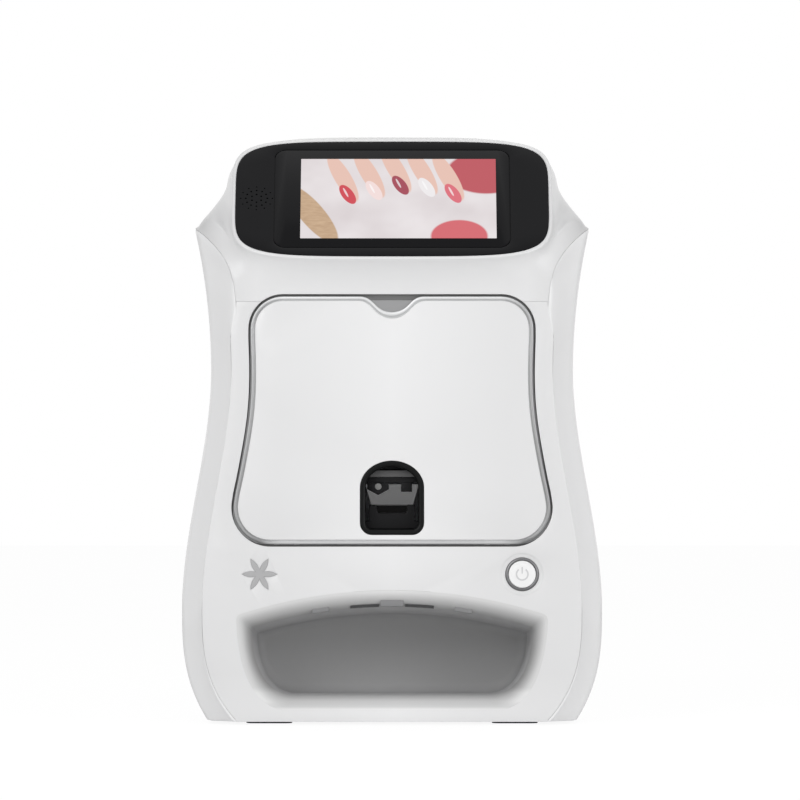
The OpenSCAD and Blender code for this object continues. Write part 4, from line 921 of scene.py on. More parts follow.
    def shell_top(self, station: Station) -> float:
        """Height of the shell's top edge, which rises to the shoulder tip and falls a little to the rear.

        Args:
            station: The place on the way round.

        Returns:
            The height.
        """
        tip = self.rise_z + (self.shoulder_z - self.rise_z) * self.tip_share
        if station.part == 0:
            return self.rise_z + (tip - self.rise_z) * station.t ** self.rise_power
        if station.part == 1:
            return lerp(tip, self.shoulder_z, station.t)
        fall = station.t * 2 / 3 if station.part == 2 else 2 / 3 + station.t
        return self.shoulder_z - self.rear_drop * min(1.0, fall)

    def stations(self) -> list[Station]:
        """Stations from the front crease to the rear panel, close where the shell turns."""
        return ([Station(0, t ** (1 / self.rise_power)) for t in steps(22)] + [Station(1, t) for t in steps(6)[1:]]
                + [Station(2, t) for t in steps(12)[1:]] + [Station(3, t) for t in steps(14)[1:]])

    def face_outline(self, inset: float, count: int = 80) -> list[Pair]:
        """Right-hand edge of the front face from the foot to the seam, as x and z."""
        return [(self.face_w(z) - inset, z) for z in steps(count, self.foot_h, self.seam_z)]

    def door_x(self, z: float) -> float:
        """Half width of the door opening."""
        swell = sum(width * math.exp(-((z - at) / run) ** 2) for width, at, run in self.door_swells)
        return self.face_w(min(z, self.seam_z - self.neck_run)) - self.door_margin + swell

    def door_outline(self, inset: float, notched: bool = True, chords: int = 12) -> list[Vector]:
        """Outline of the door opening moved in, as x and z.

        Args:
            inset: How far it is moved in; the notch starts where the door itself starts.
            notched: Whether the finger notch is cut.
            chords: Chords along each rounded corner.

        Returns:
            The outline, anticlockwise from the lower right corner.
        """
        z0, z1 = self.door_z + inset, self.door_top - inset
        r0, r1 = max(1.0, self.door_low_r - inset), max(1.0, self.door_top_r - inset)
        side = [(self.door_x(z) - inset, z, 0.0) for z in steps(24, z0 + 1.4 * r0, z1 - 1.15 * r1)]
        half = [(self.door_x(z0) - inset, z0, r0), *side, (self.door_x(z1) - inset, z1, r1)]
        notch: list[tuple[float, float, float]] = []
        if notched:
            slope = math.atan(self.notch_d / self.notch_w)
            n = max(0.0, inset - self.door_gap)
            x = self.notch_w + n * math.tan(slope / 2)
            low = self.door_top - self.door_gap - self.notch_d - n / math.cos(slope)
            notch = [(x, z1, self.notch_top_r), (0.0, low, self.notch_low_r), (-x, z1, self.notch_top_r)]
        return rounded([*half, *notch, *[(-x, z, r) for x, z, r in reversed(half)]], chords)

    def on_slope(self, outline: Iterable[Vector]) -> list[Vector]:
        """An outline of x and z taken to the front's own frame."""
        return [Vector((p.x, self.up(p.y))) for p in outline]


FORM = Form()


@dataclass
class Housing:
    """The moulded shells: sides, front frame, rear panel, base and feet."""

    form: Form = FORM
    rows: int = 110
    surround_y: float = 5.7
    surround_d: float = 2.6
    surround_w: float = 6.0
    surround_lap: float = 1.3
    surround_seat: float = 0.4
    mouth_half_w: float = 122.0
    mouth_low: float = 11.0
    mouth_high: float = 103.2
    edge: float = 0.25

    def build(self) -> None:
        """Builds and dresses every shell."""
        self.side_shells()
        self.front()
        soft_copy("rear_panel", Finish.SIDE, 0.4)
        soft_copy("base_plate", Finish.BASE, 0.4)
        soft_copy("rubber_feet", Finish.RUBBER, 0.6)

    def side_shells(self) -> None:
        """The two bellied side shells, whose top edges rise to the shoulder tips."""
        form, stations = self.form, self.form.stations()
        last = len(stations) - 1

        def place(u: float, v: float) -> Vector:
            """Point of the right shell, round it and up it."""
            station = stations[round(u * last)]
            return form.plan(station, lerp(form.foot_h, form.shell_top(station), v))

        for name, side in (("side_panel_right", 1), ("side_panel_left", -1)):
            shape = Shape.sheet(last, self.rows, place).wall(form.wall)
            self.hold_back(shape)
            self.hold_back(shape.soften(self.edge, 2, 60))
            if side < 0:
                bmesh.ops.scale(shape.bm, vec=(-1, 1, 1), verts=shape.bm.verts[:])
                shape.outward()
            shape.piece("shell_" + name, "housing", "shell_white", Finish.SIDE, [name], crease=40)

    def hold_back(self, shape: Shape) -> None:
        """Keeps a shell above the foot line and behind the face."""
        for v in shape.bm.verts:
            v.co.z = max(v.co.z, self.form.foot_h)
            v.co.y = max(v.co.y, self.form.face_y(v.co.z))

    def front_outline(self) -> list[Vector]:
        """Outer edge of the front frame: the face, open at the top where the door rises past the seam.

        Returns:
            The outline as x and z.
        """
        form = self.form
        right = form.face_outline(form.gap)
        door = form.door_outline(0.0, notched=False, chords=20)
        r = form.door_top_r
        cut = math.asin((form.seam_z - form.door_top + r) / r)
        edge_x = form.door_x(form.door_top - r) - r * (1 - math.cos(cut))
        inner = [(edge_x, form.seam_z)] + [(p.x, p.y) for p in reversed(door) if p.x > 0 and p.y < form.seam_z]
        half = right + inner
        return [Vector(p) for p in half + [(-x, z) for x, z in reversed(half)]]

    def front(self) -> None:
        """The front frame with its mouth, button well and rosette seat, and the walls that the door closes into."""
        form = self.form
        holes = [MOUTH.outline(-0.03), disc(BUTTON.x, BUTTON.z, BUTTON.well_r, 96), ROSETTE.outline(0.7)]
        outlines = [form.on_slope(o) for o in [self.front_outline(), *holes]]
        plate_shape = Shape.prism(outlines, 0.0, form.wall)
        plate_shape.soften(self.edge, 2, 60, lambda p: p.y < 0.1 and not self.at_mouth(p))
        seat = Shape.prism([form.on_slope(disc(-ROSETTE.x, ROSETTE.z, ROSETTE.radius + 1))],
                           ROSETTE.seat_y, ROSETTE.seat_back)
        near, far, back = form.wall - self.surround_seat, self.surround_y, self.surround_y + self.surround_d
        profile = [(0.0, near), (0.0, far), (self.surround_w, far), (self.surround_w, back),
                   (-self.surround_lap, back), (-self.surround_lap, near)]
        ring = swept([form.door_outline(o, notched=False) for o, _ in profile], [y for _, y in profile])
        ring.soften(0.3, 1, 60)
        arms = HINGE.arms(self.surround_y + 1)
        shape = plate_shape.joined(seat, ring, BUTTON.well(), *arms).moved(form.face)
        shape.piece("front_frame_shell", "housing", "shell_white", Finish.FRONT, ["front_frame"])

    def at_mouth(self, p: Vector) -> bool:
        """Whether a place on the front lies at the mouth of the hollow, where the lip goes on without a step.

        Args:
            p: The place, in the front's own frame.

        Returns:
            True at the mouth, and False elsewhere and round the button.
        """
        up = self.form.up
        button = Vector((abs(p.x) - BUTTON.x, p.z - up(BUTTON.z))).length
        inside = abs(p.x) < self.mouth_half_w and up(self.mouth_low) < p.z < up(self.mouth_high)
        return inside and button > BUTTON.well_r + 1


def swept(outlines: Sequence[Sequence[Vector]], depths: Sequence[float], closed: bool = True) -> Shape:
    """A ring whose section runs through outlines of equal count at given depths behind the face.

    Args:
        outlines: Outlines of x and z, one for each corner of the section.
        depths: Depth behind the face of each corner.
        closed: Whether the section closes on itself.

    Returns:
        The ring in the front's own frame.
    """
    rings = [FORM.on_slope(o) for o in outlines]
    count, around = len(rings), len(rings[0])

    def place(u: float, v: float) -> Vector:
        """Point round the ring and round its section.

        Args:
            u: Share of the way round the ring.
            v: Share of the way round the section.

        Returns:
            The point.
        """
        i = round(v * (count if closed else count - 1)) % count
        p = rings[i][round(u * around) % around]
        return Vector((p.x, depths[i], p.y))

    return Shape.sheet(around, count if closed else count - 1, place).weld().outward()


def soft_copy(node: str, finish: Finish, width: float) -> None:
    """A CAD node's own form with its edges rounded, dressed in a finish.

    Args:
        node: The CAD node.
        finish: Its finish.
        width: Width of the rounding; 0 keeps the node as it is.
    """
    record = frame["record"]
    slot = next(s["material_slot"] for s in record["subparts"] if s["node"] == node)
    body = next(b for b, nodes in record["behaviour"]["bodies"].items() if node in nodes)
    if width <= 0:
        for holder in frame["nodes"][node].material_slots:
            holder.material = finish.material
        LOG.info("%s: CAD solid, dressed", node)
        return
    Shape.copy_of(node).soften(width, 2, 50).piece(node + "_soft", body, slot, finish, [node])


@dataclass(frozen=True)
class Window:
    """The arched finger window in the door."""

    width: float = 49.8
    height: float = 57.6
    foot: float = 147.7
    arch_h: float = 21.0
    corner_r: float = 9.2

    def outline(self, inset: float) -> list[Vector]:
        """Outline of the window.

        Args:
            inset: How far it is moved in.

        Returns:
            The outline as x and z, from the left side over the foot to the arch.
        """
        w, z0, top = self.width / 2 - inset, self.foot + inset, self.foot + self.height - inset
        spring = top - self.arch_h + inset
        r, side_z = max(1.0, self.corner_r - inset), z0 + 2 * self.corner_r
        low = rounded([(-w, side_z, 0), (-w, z0, r), (w, z0, r), (w, side_z, 0)], 8)
        arch = [Vector((w * math.cos(a), spring + (top - spring) * math.sin(a))) for a in steps(32, 0, math.pi)]
        return low + arch


WINDOW = Window()


@dataclass(frozen=True)
class Mouth:
    """The hand hollow's mouth: an arched top between bowed sides.

    Each draw says how far an edge moves for each unit of inset. The knee and the toe pull the bowed side.
    """

    half: float = 121.4
    half_draw: float = 1.16
    crown: float = 104.5
    crown_draw: float = 1.25
    spring: float = 85.0
    spring_draw: float = 0.93
    foot: float = 11.3
    foot_draw: float = 1.24
    knee: Pair = (1.0, 38.0)
    knee_draw: Pair = (0.02, 0.6)
    toe_x: float = 105.5
    toe_draw: float = 0.8
    flat_x: float = 80.0
    flat_draw: float = 0.4
    corner_r: float = 5.0

    def arc(self, x: float, inset: float) -> float:
        """Height of the arched top edge.

        Args:
            x: Place across the mouth.
            inset: How far the outline is moved in.

        Returns:
            The height.
        """
        half, top = self.half - self.half_draw * inset, self.crown - self.crown_draw * inset
        low = self.spring - self.spring_draw * inset
        r = (half * half + (top - low) ** 2) / (2 * (top - low))
        return top - r + math.sqrt(r * r - x * x)

    def outline(self, inset: float) -> list[Vector]:
        """The whole outline.

        Args:
            inset: How far it is moved in.

        Returns:
            The outline as x and z, clockwise from the top right corner.
        """
        half, low = self.half - self.half_draw * inset, self.foot + self.foot_draw * inset
        corner = Vector((half, self.spring - self.spring_draw * inset))
        knee = Vector((half - self.knee[0] + self.knee_draw[0] * inset, self.knee[1] + self.knee_draw[1] * inset))
        side = [corner, knee, Vector((self.toe_x - self.toe_draw * inset, low)),
                Vector((self.flat_x - self.flat_draw * inset, low))]
        curve = [side[0] * (1 - t) ** 3 + side[1] * 3 * t * (1 - t) ** 2 + side[2] * 3 * t * t * (1 - t)
                 + side[3] * t ** 3 for t in steps(24)[1:]]
        turn = max(2.0, self.corner_r - 0.3 * inset)
        right = [(half, corner.y, turn)] + [(p.x, p.y, 0.0) for p in curve]
        left = [(-x, z, r) for x, z, r in reversed(right)]
        top = [(x, self.arc(x, inset), 0.0) for x in steps(24, -half, half)[1:-1]]
        return rounded([*right, *left, *top], 10)


MOUTH = Mouth()


def block(x0: float, x1: float, y0: float, y1: float, z0: float, z1: float) -> Shape:
    """A cuboid.

    Args:
        x0: Its left side.
        x1: Its right side.
        y0: Its front.
        y1: Its back.
        z0: Its underside.
        z1: Its top.

    Returns:
        The cuboid.
    """
    shape = Shape()
    bmesh.ops.create_cube(shape.bm, size=1.0)
    bmesh.ops.scale(shape.bm, vec=(x1 - x0, y1 - y0, z1 - z0), verts=shape.bm.verts[:])
    bmesh.ops.translate(shape.bm, vec=((x0 + x1) / 2, (y0 + y1) / 2, (z0 + z1) / 2), verts=shape.bm.verts[:])
    return shape


def rod(start: Vector, end: Vector, r: float, count: int = 32) -> Shape:
    """A round bar.

    Args:
        start: Middle of one end.
        end: Middle of the other end.
        r: Its radius.
        count: Number of its sides.

    Returns:
        The bar.
    """
    shape = Shape()
    axis = end - start
    bmesh.ops.create_cone(shape.bm, cap_ends=True, segments=count, radius1=r, radius2=r, depth=axis.length)
    turn = axis.to_track_quat("Z", "Y").to_matrix().to_4x4()
    return shape.moved(Matrix.Translation((start + end) / 2) @ turn)


@dataclass(frozen=True)
class HingeLine:
    """The door's hinge: arms on the frame, knuckles on the door and pins through both."""

    y: float = 1.5
    z: float = 141.1
    x: float = 82.0
    knuckle_w: float = 10.0
    knuckle_r: float = 0.9
    arm_w: float = 4.5
    arm_r: float = 0.8

    def arm_x(self, side: int, end: int) -> float:
        """Middle of one arm."""
        return side * self.x + end * (self.knuckle_w + self.arm_w + 1) / 2

    def arms(self, back: float) -> list[Shape]:
        """The frame's four arms with their eyes.

        Args:
            back: Depth behind the face where the arms start.

        Returns:
            The arms in the front's own frame.
        """
        z, half, made = FORM.up(self.z), self.arm_w / 2, []
        for side in (-1, 1):
            for end in (-1, 1):
                a = self.arm_x(side, end)
                made.append(block(a - half, a + half, self.y, back, z - self.arm_r, z + self.arm_r))
                made.append(rod(Vector((a - half, self.y, z)), Vector((a + half, self.y, z)), self.knuckle_r))
        return made

    def reach(self) -> Pair:
        """Range of distance from the centre that the arms and knuckle of one hinge fill."""
        return self.arm_x(1, -1) - self.arm_w / 2 - 0.5, self.arm_x(1, 1) + self.arm_w / 2 + 0.5


HINGE = HingeLine()


@dataclass(frozen=True)
class Rosette:
    """The six-petalled ornament to the left of the centre."""

    x: float = 103.2
    z: float = 117.0
    radius: float = 12.8
    seat_y: float = 0.6
    seat_back: float = 2.0

    def outline(self, grow: float, count: int = 144) -> list[Vector]:
        """Outline of six lens-shaped petals that meet in the middle.

        Args:
            grow: How far the petals' arcs are moved out.
            count: Points round the outline.

        Returns:
            The outline as x and z.
        """
        r, third, made = self.radius, math.radians(60), []
        for turn in steps(count, 0.0, FULL_TURN)[:-1]:
            across = r * math.cos(abs((turn + third / 2) % third - third / 2) + third)
            reach = across + math.sqrt(across ** 2 - r * r + (r + grow) ** 2)
            made.append(Vector((reach * math.cos(turn) - self.x, reach * math.sin(turn) + self.z)))
        return made

    def build(self) -> None:
        """Builds the petals, slightly crowned."""
        shape = Shape.prism([FORM.on_slope(self.outline(0.5))], 0.02, self.seat_y)
        shape.soften(0.35, 3, 60, lambda p: p.y < 0.1)
        shape.moved(FORM.face).piece("rosette", "housing", "ornament_grey", Finish.ROSETTE, ["ornament"])


ROSETTE = Rosette()


@dataclass(frozen=True)
class PowerButton:
    """The round power button in its smoked ring."""

    x: float = 101.4
    z: float = 117.0
    cap_r: float = 10.6
    well_r: float = 16.4
    wall: float = 3.0

    @property
    def place(self) -> Matrix:
        """Places a turned form at the button, seen from the front."""
        return FORM.face @ Matrix.Translation((self.x, 0, FORM.up(self.z)))

    def well(self) -> Shape:
        """The shallow dish around the ring.

        Returns:
            The dish in the front's own frame.
        """
        r, lip = self.cap_r + 2.6, self.well_r
        profile = [(lip, 0.0), (lip - 0.25, 0.03), (lip - 0.7, 0.3), (lip - 1.2, 0.5), (r + 0.1, 0.55), (r, 0.7),
                   (r, self.wall), (lip, self.wall), (lip, 0.0)]
        return Shape.lathe(profile, 96).moved(Matrix.Translation((self.x, 0, FORM.up(self.z))))

    def build(self) -> None:
        """Builds the ring, the cap and the mark on it."""
        r = self.cap_r
        ring = [(r + 0.3, 1.2), (r + 0.3, -0.2), (r + 0.5, -0.42), (r + 0.9, -0.5), (r + 1.5, -0.45), (r + 2.0, -0.2),
                (r + 2.35, 0.2), (r + 2.5, 0.6), (r + 2.5, 5.0), (r + 0.3, 5.0), (r + 0.3, 1.2)]
        Shape.lathe(ring, 96).moved(self.place).piece(
            "button_smoked_ring", "housing", "trim_silver", Finish.SMOKE, ["button_ring"], crease=50)
        cap = [(0.0, -0.5), (r * 0.5, -0.52), (r * 0.7, -0.58), (r * 0.75, -0.4), (r * 0.82, -0.4), (r * 0.88, -0.6),
               (r - 0.35, -0.52), (r - 0.1, -0.3), (r, 0.0), (r, 4.4), (3.0, 4.4), (3.0, 7.8), (0.0, 7.8)]
        Shape.lathe(cap, 96).moved(self.place).piece(
            "button_cap_face", "button", "shell_white", Finish.CAP, ["button_cap"], crease=45)
        mark = Shape.prism([self._arc()], -0.57, -0.45)
        mark.joined(Shape.prism([plate(1.2, 5.2, 0.55, 0.0, 3.1)], -0.57, -0.45)).moved(self.place).piece(
            "button_mark", "button", "ornament_grey", Finish.MARK)

    def _arc(self) -> list[Vector]:
        """Open ring of the power mark.

        Returns:
            The ring's outline, out and back.
        """
        def bend(r: float) -> list[Vector]:
            """One side of the open ring."""
            return [Vector((r * math.sin(a), r * math.cos(a))) for a in steps(40, 0.62, FULL_TURN - 0.62)]
        return bend(5.1) + list(reversed(bend(3.85)))


BUTTON = PowerButton()


@dataclass
class HandHollow:
    """The rounded lip and the grey liner of the hollow under the door."""

    form: Form = FORM
    lip_w: float = 10.0
    lip_d: float = 13.0
    liner_t: float = 2.0
    depth: float = 124.0
    back_round: float = 8.0
    draw_in: float = 2.0
    turns: int = 10
    catch_x: float = 9.0
    slot_x: Pair = (10.2, 32.6)
    tab_x: Pair = (49.2, 62.2)

    def build(self) -> None:
        """Builds the lip and the liner."""
        quarter = steps(self.turns, 0, math.pi / 2)
        front = [(self.lip_w * math.sin(a), self.lip_d * (1 - math.cos(a))) for a in quarter]
        wall = self.form.wall
        back = [((self.lip_w - self.liner_t) * math.sin(a), wall + (self.lip_d - wall) * (1 - math.cos(a)))
                for a in reversed(quarter)]
        section = front + back
        lip = swept([MOUTH.outline(o) for o, _ in section], [y for _, y in section])
        lip.moved(self.form.face).piece("hollow_lip_roll", "housing", "shell_white", Finish.LIP, ["hollow_lip"])
        self.liner()
        self.catches()

    def catches(self) -> None:
        """The small tabs and catch along the lip's upper inner edge, and dark strips there that paint the shade inside
        slots.
        """
        def strip(x0: float, x1: float, low: float, high: float, near: float) -> Shape:
            """A strip between x0 and x1 whose edges follow the arch, from near to behind the lip."""
            under = [(x, MOUTH.arc(x, self.lip_w)) for x in steps(4, x0, x1)]
            outline = [(x, z + low) for x, z in under] + [(x, z + high) for x, z in reversed(under)]
            return Shape.prism([self.form.on_slope(Vector(p) for p in outline)], near, self.lip_d + 2)

        tabs = strip(-self.catch_x, self.catch_x, 0.2, 5.0, 2.0)
        tabs.joined(*(strip(side * self.tab_x[0], side * self.tab_x[1], -0.4, 3.2, 4.4) for side in (-1, 1)))
        tabs.soften(0.4, 2, 60).moved(self.form.face).piece("hollow_catches", "housing", "liner_grey", Finish.CATCH)
        # Painted shade: dark strips stand in for the shade inside slots.
        near, far = self.slot_x
        slots = strip(-far, -near, 0.0, 2.0, 5.2).joined(strip(near, far, 0.0, 2.0, 5.2))
        slots.moved(self.form.face).piece("hollow_slot_shade", "housing", "liner_grey", Finish.DARK)

    def liner(self) -> None:
        """The liner: walls that draw in slightly, a rounded back edge and a flat back."""
        d = self.depth
        turn, drawn = d - self.back_round - 1, self.draw_in
        path = [(self.lip_d + 0.2, 0.0), (d * 0.3, drawn / 4), (d * 0.55, drawn / 2), (turn, drawn)]
        path += [(turn + self.back_round * math.sin(a), drawn + 0.75 * self.back_round * (1 - math.cos(a)))
                 for a in steps(8, 0, math.pi / 2)[1:]]
        inner = [(self.lip_w + o, y) for y, o in path]
        outer = [(self.lip_w - self.liner_t + o, y + (self.liner_t if i else 0.0)) for i, (y, o) in enumerate(path)]
        section = list(reversed(outer)) + inner
        shape = swept([MOUTH.outline(o) for o, _ in section], [y for _, y in section], closed=False)
        deepest = max(v.co.y for v in shape.bm.verts)
        for back in (deepest, min(deepest, self.depth - 1.0)):
            ends = [e for e in shape.bm.edges if e.is_boundary and abs(e.verts[0].co.y - back) < 0.3]
            bmesh.ops.triangle_fill(shape.bm, use_beauty=True, edges=ends, normal=(0, -1, 0))
        shape.outward().moved(self.form.face).piece(
            "hollow_liner", "housing", "liner_grey", Finish.HOLLOW, ["hand_liner"])


@dataclass
class HeadEdgePoint:
    """One place on the head's lower edge, with the rim angle that it belongs to and the way the skin ends there."""

    point: Vector
    angle: float
    end: Vector


@dataclass
class Head:
    """The head: a moulded cover lofted from the screen's rim to the shells, and the tilted screen in it."""

    form: Form = FORM
    tilt: float = math.radians(42)
    z: float = 411.2
    y: float = 97.0
    bezel_w: float = 246.0
    bezel_h: float = 124.9
    bow: float = 0.017
    bezel_t: float = 3.2
    rim_w: float = 3.0
    shape_n: float = 5.3
    front_share: float = 0.84
    rear_share: float = 0.8
    tip_pull: float = 2.2
    rise_turn: float = 5.0
    shoulder_angle: float = -8.0
    flank_angle: float = 30.0
    rise_parts: float = 6.0
    turn_parts: float = 3.0
    panel: Pair = (184.6, 105.4)
    picture: Pair = (153.6, 86.2)
    picture_x: float = 5.0
    speaker_x: float = 106.5
    loft: int = 30
    evening: int = 12

    @property
    def place(self) -> Matrix:
        """Places the screen's own frame: X right, Y behind the glass, Z up the slope."""
        return Matrix.Translation((0, -self.y, self.z)) @ Matrix.Rotation(-self.tilt, 4, "X")

    def power(self, value: float, exponent: float) -> float:
        """Power that keeps the sign."""
        return math.copysign(abs(value) ** exponent, value)

    def oval(self, angle: float, out: float) -> Pair:
        """Point of the screen's rounded outline, whose long sides are slightly bowed.

        Args:
            angle: The rim angle in degrees, 0 at the right and 90 at the top.
            out: How far the point lies out from the bezel.

        Returns:
            The point in the screen's own frame, as x and place up the slope.
        """
        e, a = 2 / self.shape_n, math.radians(angle)
        x = self.power(math.cos(a), e)
        z = (self.bezel_h / 2 + out) * self.power(math.sin(a), e) * (1 - self.bow * x * x)
        return (self.bezel_w / 2 + out) * x, z

    def rim(self, angle: float, out: float, depth: float) -> Vector:
        """Point of the screen's outline, out from the bezel and behind the glass."""
        x, z = self.oval(angle, out)
        return self.place @ Vector((x, depth, z))

    def rim_out(self, angle: float) -> Vector:
        """Direction out of the rim, in the glass's plane."""
        e, a = 2 - 2 / self.shape_n, math.radians(angle)
        n = Vector((self.power(math.cos(a), e) / self.bezel_w, 0, self.power(math.sin(a), e) / self.bezel_h))
        return (self.place.to_3x3() @ n).normalized()

    def front_angle(self, share: float) -> float:
        """Rim angle over a share of the front's half width."""
        return -math.degrees(math.acos(min(1.0, share * self.front_share) ** (self.shape_n / 2)))

    def edge(self, inset: float) -> list[HeadEdgePoint]:
        """Right half of the lower edge, from the front's centre to the rear's centre.

        Args:
            inset: How far it is moved in by a wall.

        Returns:
            The points: over the door, down its corner, along the seam, up the crease, round the shell and the rear.
        """
        form = self.form
        down = Vector((0, -math.sin(form.lean), -math.cos(form.lean)))
        w = form.face_w(form.seam_z)
        r = form.door_top_r
        edge_x = form.door_x(form.door_top - r) - r
        cut = math.degrees(math.asin((form.seam_z - form.door_top + r) / r))

        def front(x: float, z: float, flare: float) -> HeadEdgePoint:
            """Edge point on the front, where the skin ends down the slope and out by the flare."""
            end = (down + Vector((flare * 0.8, 0, 0))).normalized()
            return HeadEdgePoint(Vector((x, form.face_y(z) + inset, z)), self.front_angle(x / w), end)

        made = [front(edge_x * t, form.door_top + form.gap, 0) for t in steps(18, 0.0, 0.95)]
        made += [front(edge_x + r * math.cos(math.radians(a)),
                       form.door_top - r * (1 - math.sin(math.radians(a))) + form.gap, 0)
                 for a in steps(12, 90, cut)]
        corner_x = edge_x + r * math.cos(math.radians(cut))
        made += [front(lerp(corner_x, w, t), form.seam_z + form.gap, 0.5 * t) for t in (0.25, 0.5, 0.75)]
        start = self.front_angle(1.0)
        for t in steps(8)[:-1]:
            z = lerp(form.seam_z, form.rise_z, t) + form.gap
            point = Vector((form.face_w(z), form.face_y(z) + inset, z))
            made.append(HeadEdgePoint(point, start + self.rise_turn * t, Vector((0.8, 0, -0.6)).normalized()))
        made += [self.shell_edge(station, inset, start) for station in form.stations()]
        rear_w = form.side_w(form.rear_z) - form.side_taper - form.rear_r
        for t in steps(14, 1.0, 0.0)[1:]:
            angle = math.degrees(math.acos((self.rear_share * t) ** (self.shape_n / 2)))
            made.append(HeadEdgePoint(Vector((t * rear_w, form.depth / 2 - inset, form.rear_z + form.gap)), angle,
                                      Vector((0, 0.5, -0.75)).normalized()))
        return made

    def shell_edge(self, station: Station, inset: float, start: float) -> HeadEdgePoint:
        """The lower edge where it meets the shell.

        Args:
            station: The place on the way round the shell.
            inset: How far the edge is moved in by a wall.
            start: Rim angle at the front's corner.

        Returns:
            The edge's point with its rim angle and end direction.
        """
        form, whole = self.form, self.rise_parts + self.turn_parts
        z = form.shell_top(station) + form.gap
        point = form.plan(station, z)
        share = (self.rise_parts * station.t ** form.rise_power if station.part == 0
                 else self.rise_parts + self.turn_parts * station.t)
        rear = math.degrees(math.acos(self.rear_share ** (self.shape_n / 2)))
        shoulder, flank = self.shoulder_angle, self.flank_angle
        angle = (lerp(start + self.rise_turn, shoulder, share / whole) if station.part < 2
                 else lerp(shoulder, flank, station.t) if station.part == 2 else lerp(flank, rear, station.t))
        back = math.radians(90 * station.t) if station.part == 3 else 0.0
        along = ease(share / whole) if station.part < 2 else 1.0
        drawn = along if station.part < 2 else ease(1 - station.t) if station.part == 2 else 0.0
        flare = lerp(0.8, 0.38, along)
        if inset:
            inward = Vector((-1, 0.35, 0)) if station.part < 2 else Vector((-math.cos(back), -math.sin(back), 0))
            point = point + inward.normalized() * inset
        end = Vector((flare * math.cos(back), flare * math.sin(back), -0.75)).normalized()
        return HeadEdgePoint(point, angle, end * lerp(1.0, self.tip_pull, drawn))

    def curve(self, edge: HeadEdgePoint, out: float, depth: float, count: int) -> list[Vector]:
        """One curve of the skin from the rim to the lower edge.

        Args:
            edge: The lower edge's point.
            out: How far out of the bezel it starts.
            depth: How far behind the glass it starts.
            count: Number of chords.

        Returns:
            The curve's points.
        """
        a = edge.angle
        p0, p1 = self.rim(a, out, depth), edge.point
        reach = (p1 - p0).length
        inward = self.place.to_3x3() @ Vector((0, 1, 0))
        beside, crown = ease((a + 30) / 30), ease(a / 70)
        lift = 0.1 + 0.3 * beside * min(1.0, 50 / reach) + 0.55 * crown
        t0 = (self.rim_out(a) * lift + inward * (1 - 0.45 * crown)).normalized() * reach * (0.9 + 0.2 * beside)
        t1 = edge.end * reach * (1.1 if a < 0 else lerp(1.1, 0.6, ease(a / 60)))
        return [p0 * (1 + 2 * t) * (1 - t) ** 2 + t0 * t * (1 - t) ** 2 + p1 * t * t * (3 - 2 * t)
                - t1 * t * t * (1 - t) for t in steps(count)]

    def section(self, outer: HeadEdgePoint, inner: HeadEdgePoint) -> list[Vector]:
        """Closed section: over the rim, down the skin, back up inside and round the glass ledge.

        Args:
            outer: The lower edge's point on the outside.
            inner: Its point on the inside.

        Returns:
            The section's points.
        """
        a, w = outer.angle, self.rim_w
        bead = [(self.form.gap, 0.35), (self.form.gap + 0.25, -0.1), (w * 0.35, -0.42), (w * 0.6, -0.5),
                (w * 0.82, -0.3), (w * 0.95, 0.1)]
        ledge = [(-2.5, self.bezel_t + 3), (-2.5, self.bezel_t + 0.1), (self.form.gap, self.bezel_t + 0.1)]
        inside = self.curve(inner, w - self.form.wall * 0.8, self.form.wall + 3.4, 8)
        return ([self.rim(a, o, d) for o, d in bead] + self.curve(outer, w, 0.6, self.loft)
                + list(reversed(inside)) + [self.rim(a, o, d) for o, d in ledge])

    def build(self) -> None:
        """Builds the cover and the screen's pieces."""
        self.cover()
        self.screen()

    def cover(self) -> None:
        """The lofted cover: sections evened out from one to the next over the skin, and the half mirrored."""
        sections = [self.section(o, i) for o, i in zip(self.edge(0.0), self.edge(self.form.wall))]
        count, last = len(sections[0]), len(sections) - 1
        for _ in range(self.evening):
            before = [list(row) for row in sections]
            for i in range(1, last):
                for j in range(7, 6 + self.loft):
                    sections[i][j] = lerp(before[i][j], (before[i - 1][j] + before[i + 1][j]) / 2, 0.5)

        def place(u: float, v: float) -> Vector:
            """Point round the right half and round its section.

            Args:
                u: Share of the way round the right half.
                v: Share of the way round the section.

            Returns:
                The point, on the middle plane at both ends.
            """
            p = sections[round(u * last)][round(v * count) % count].copy()
            if u in (0.0, 1.0):
                p.x = 0.0
            return p

        shape = Shape.sheet(last, count, place).weld().with_mirror()
        shape.weld().outward().piece("head_cover", "housing", "shell_white", Finish.SHELL, ["top_cover"], crease=50)

    def outline(self, out: float, count: int = 160) -> list[Vector]:
        """The bezel's rounded outline in the screen's own frame."""
        return [Vector(self.oval(360 * i / count, out)) for i in range(count)]

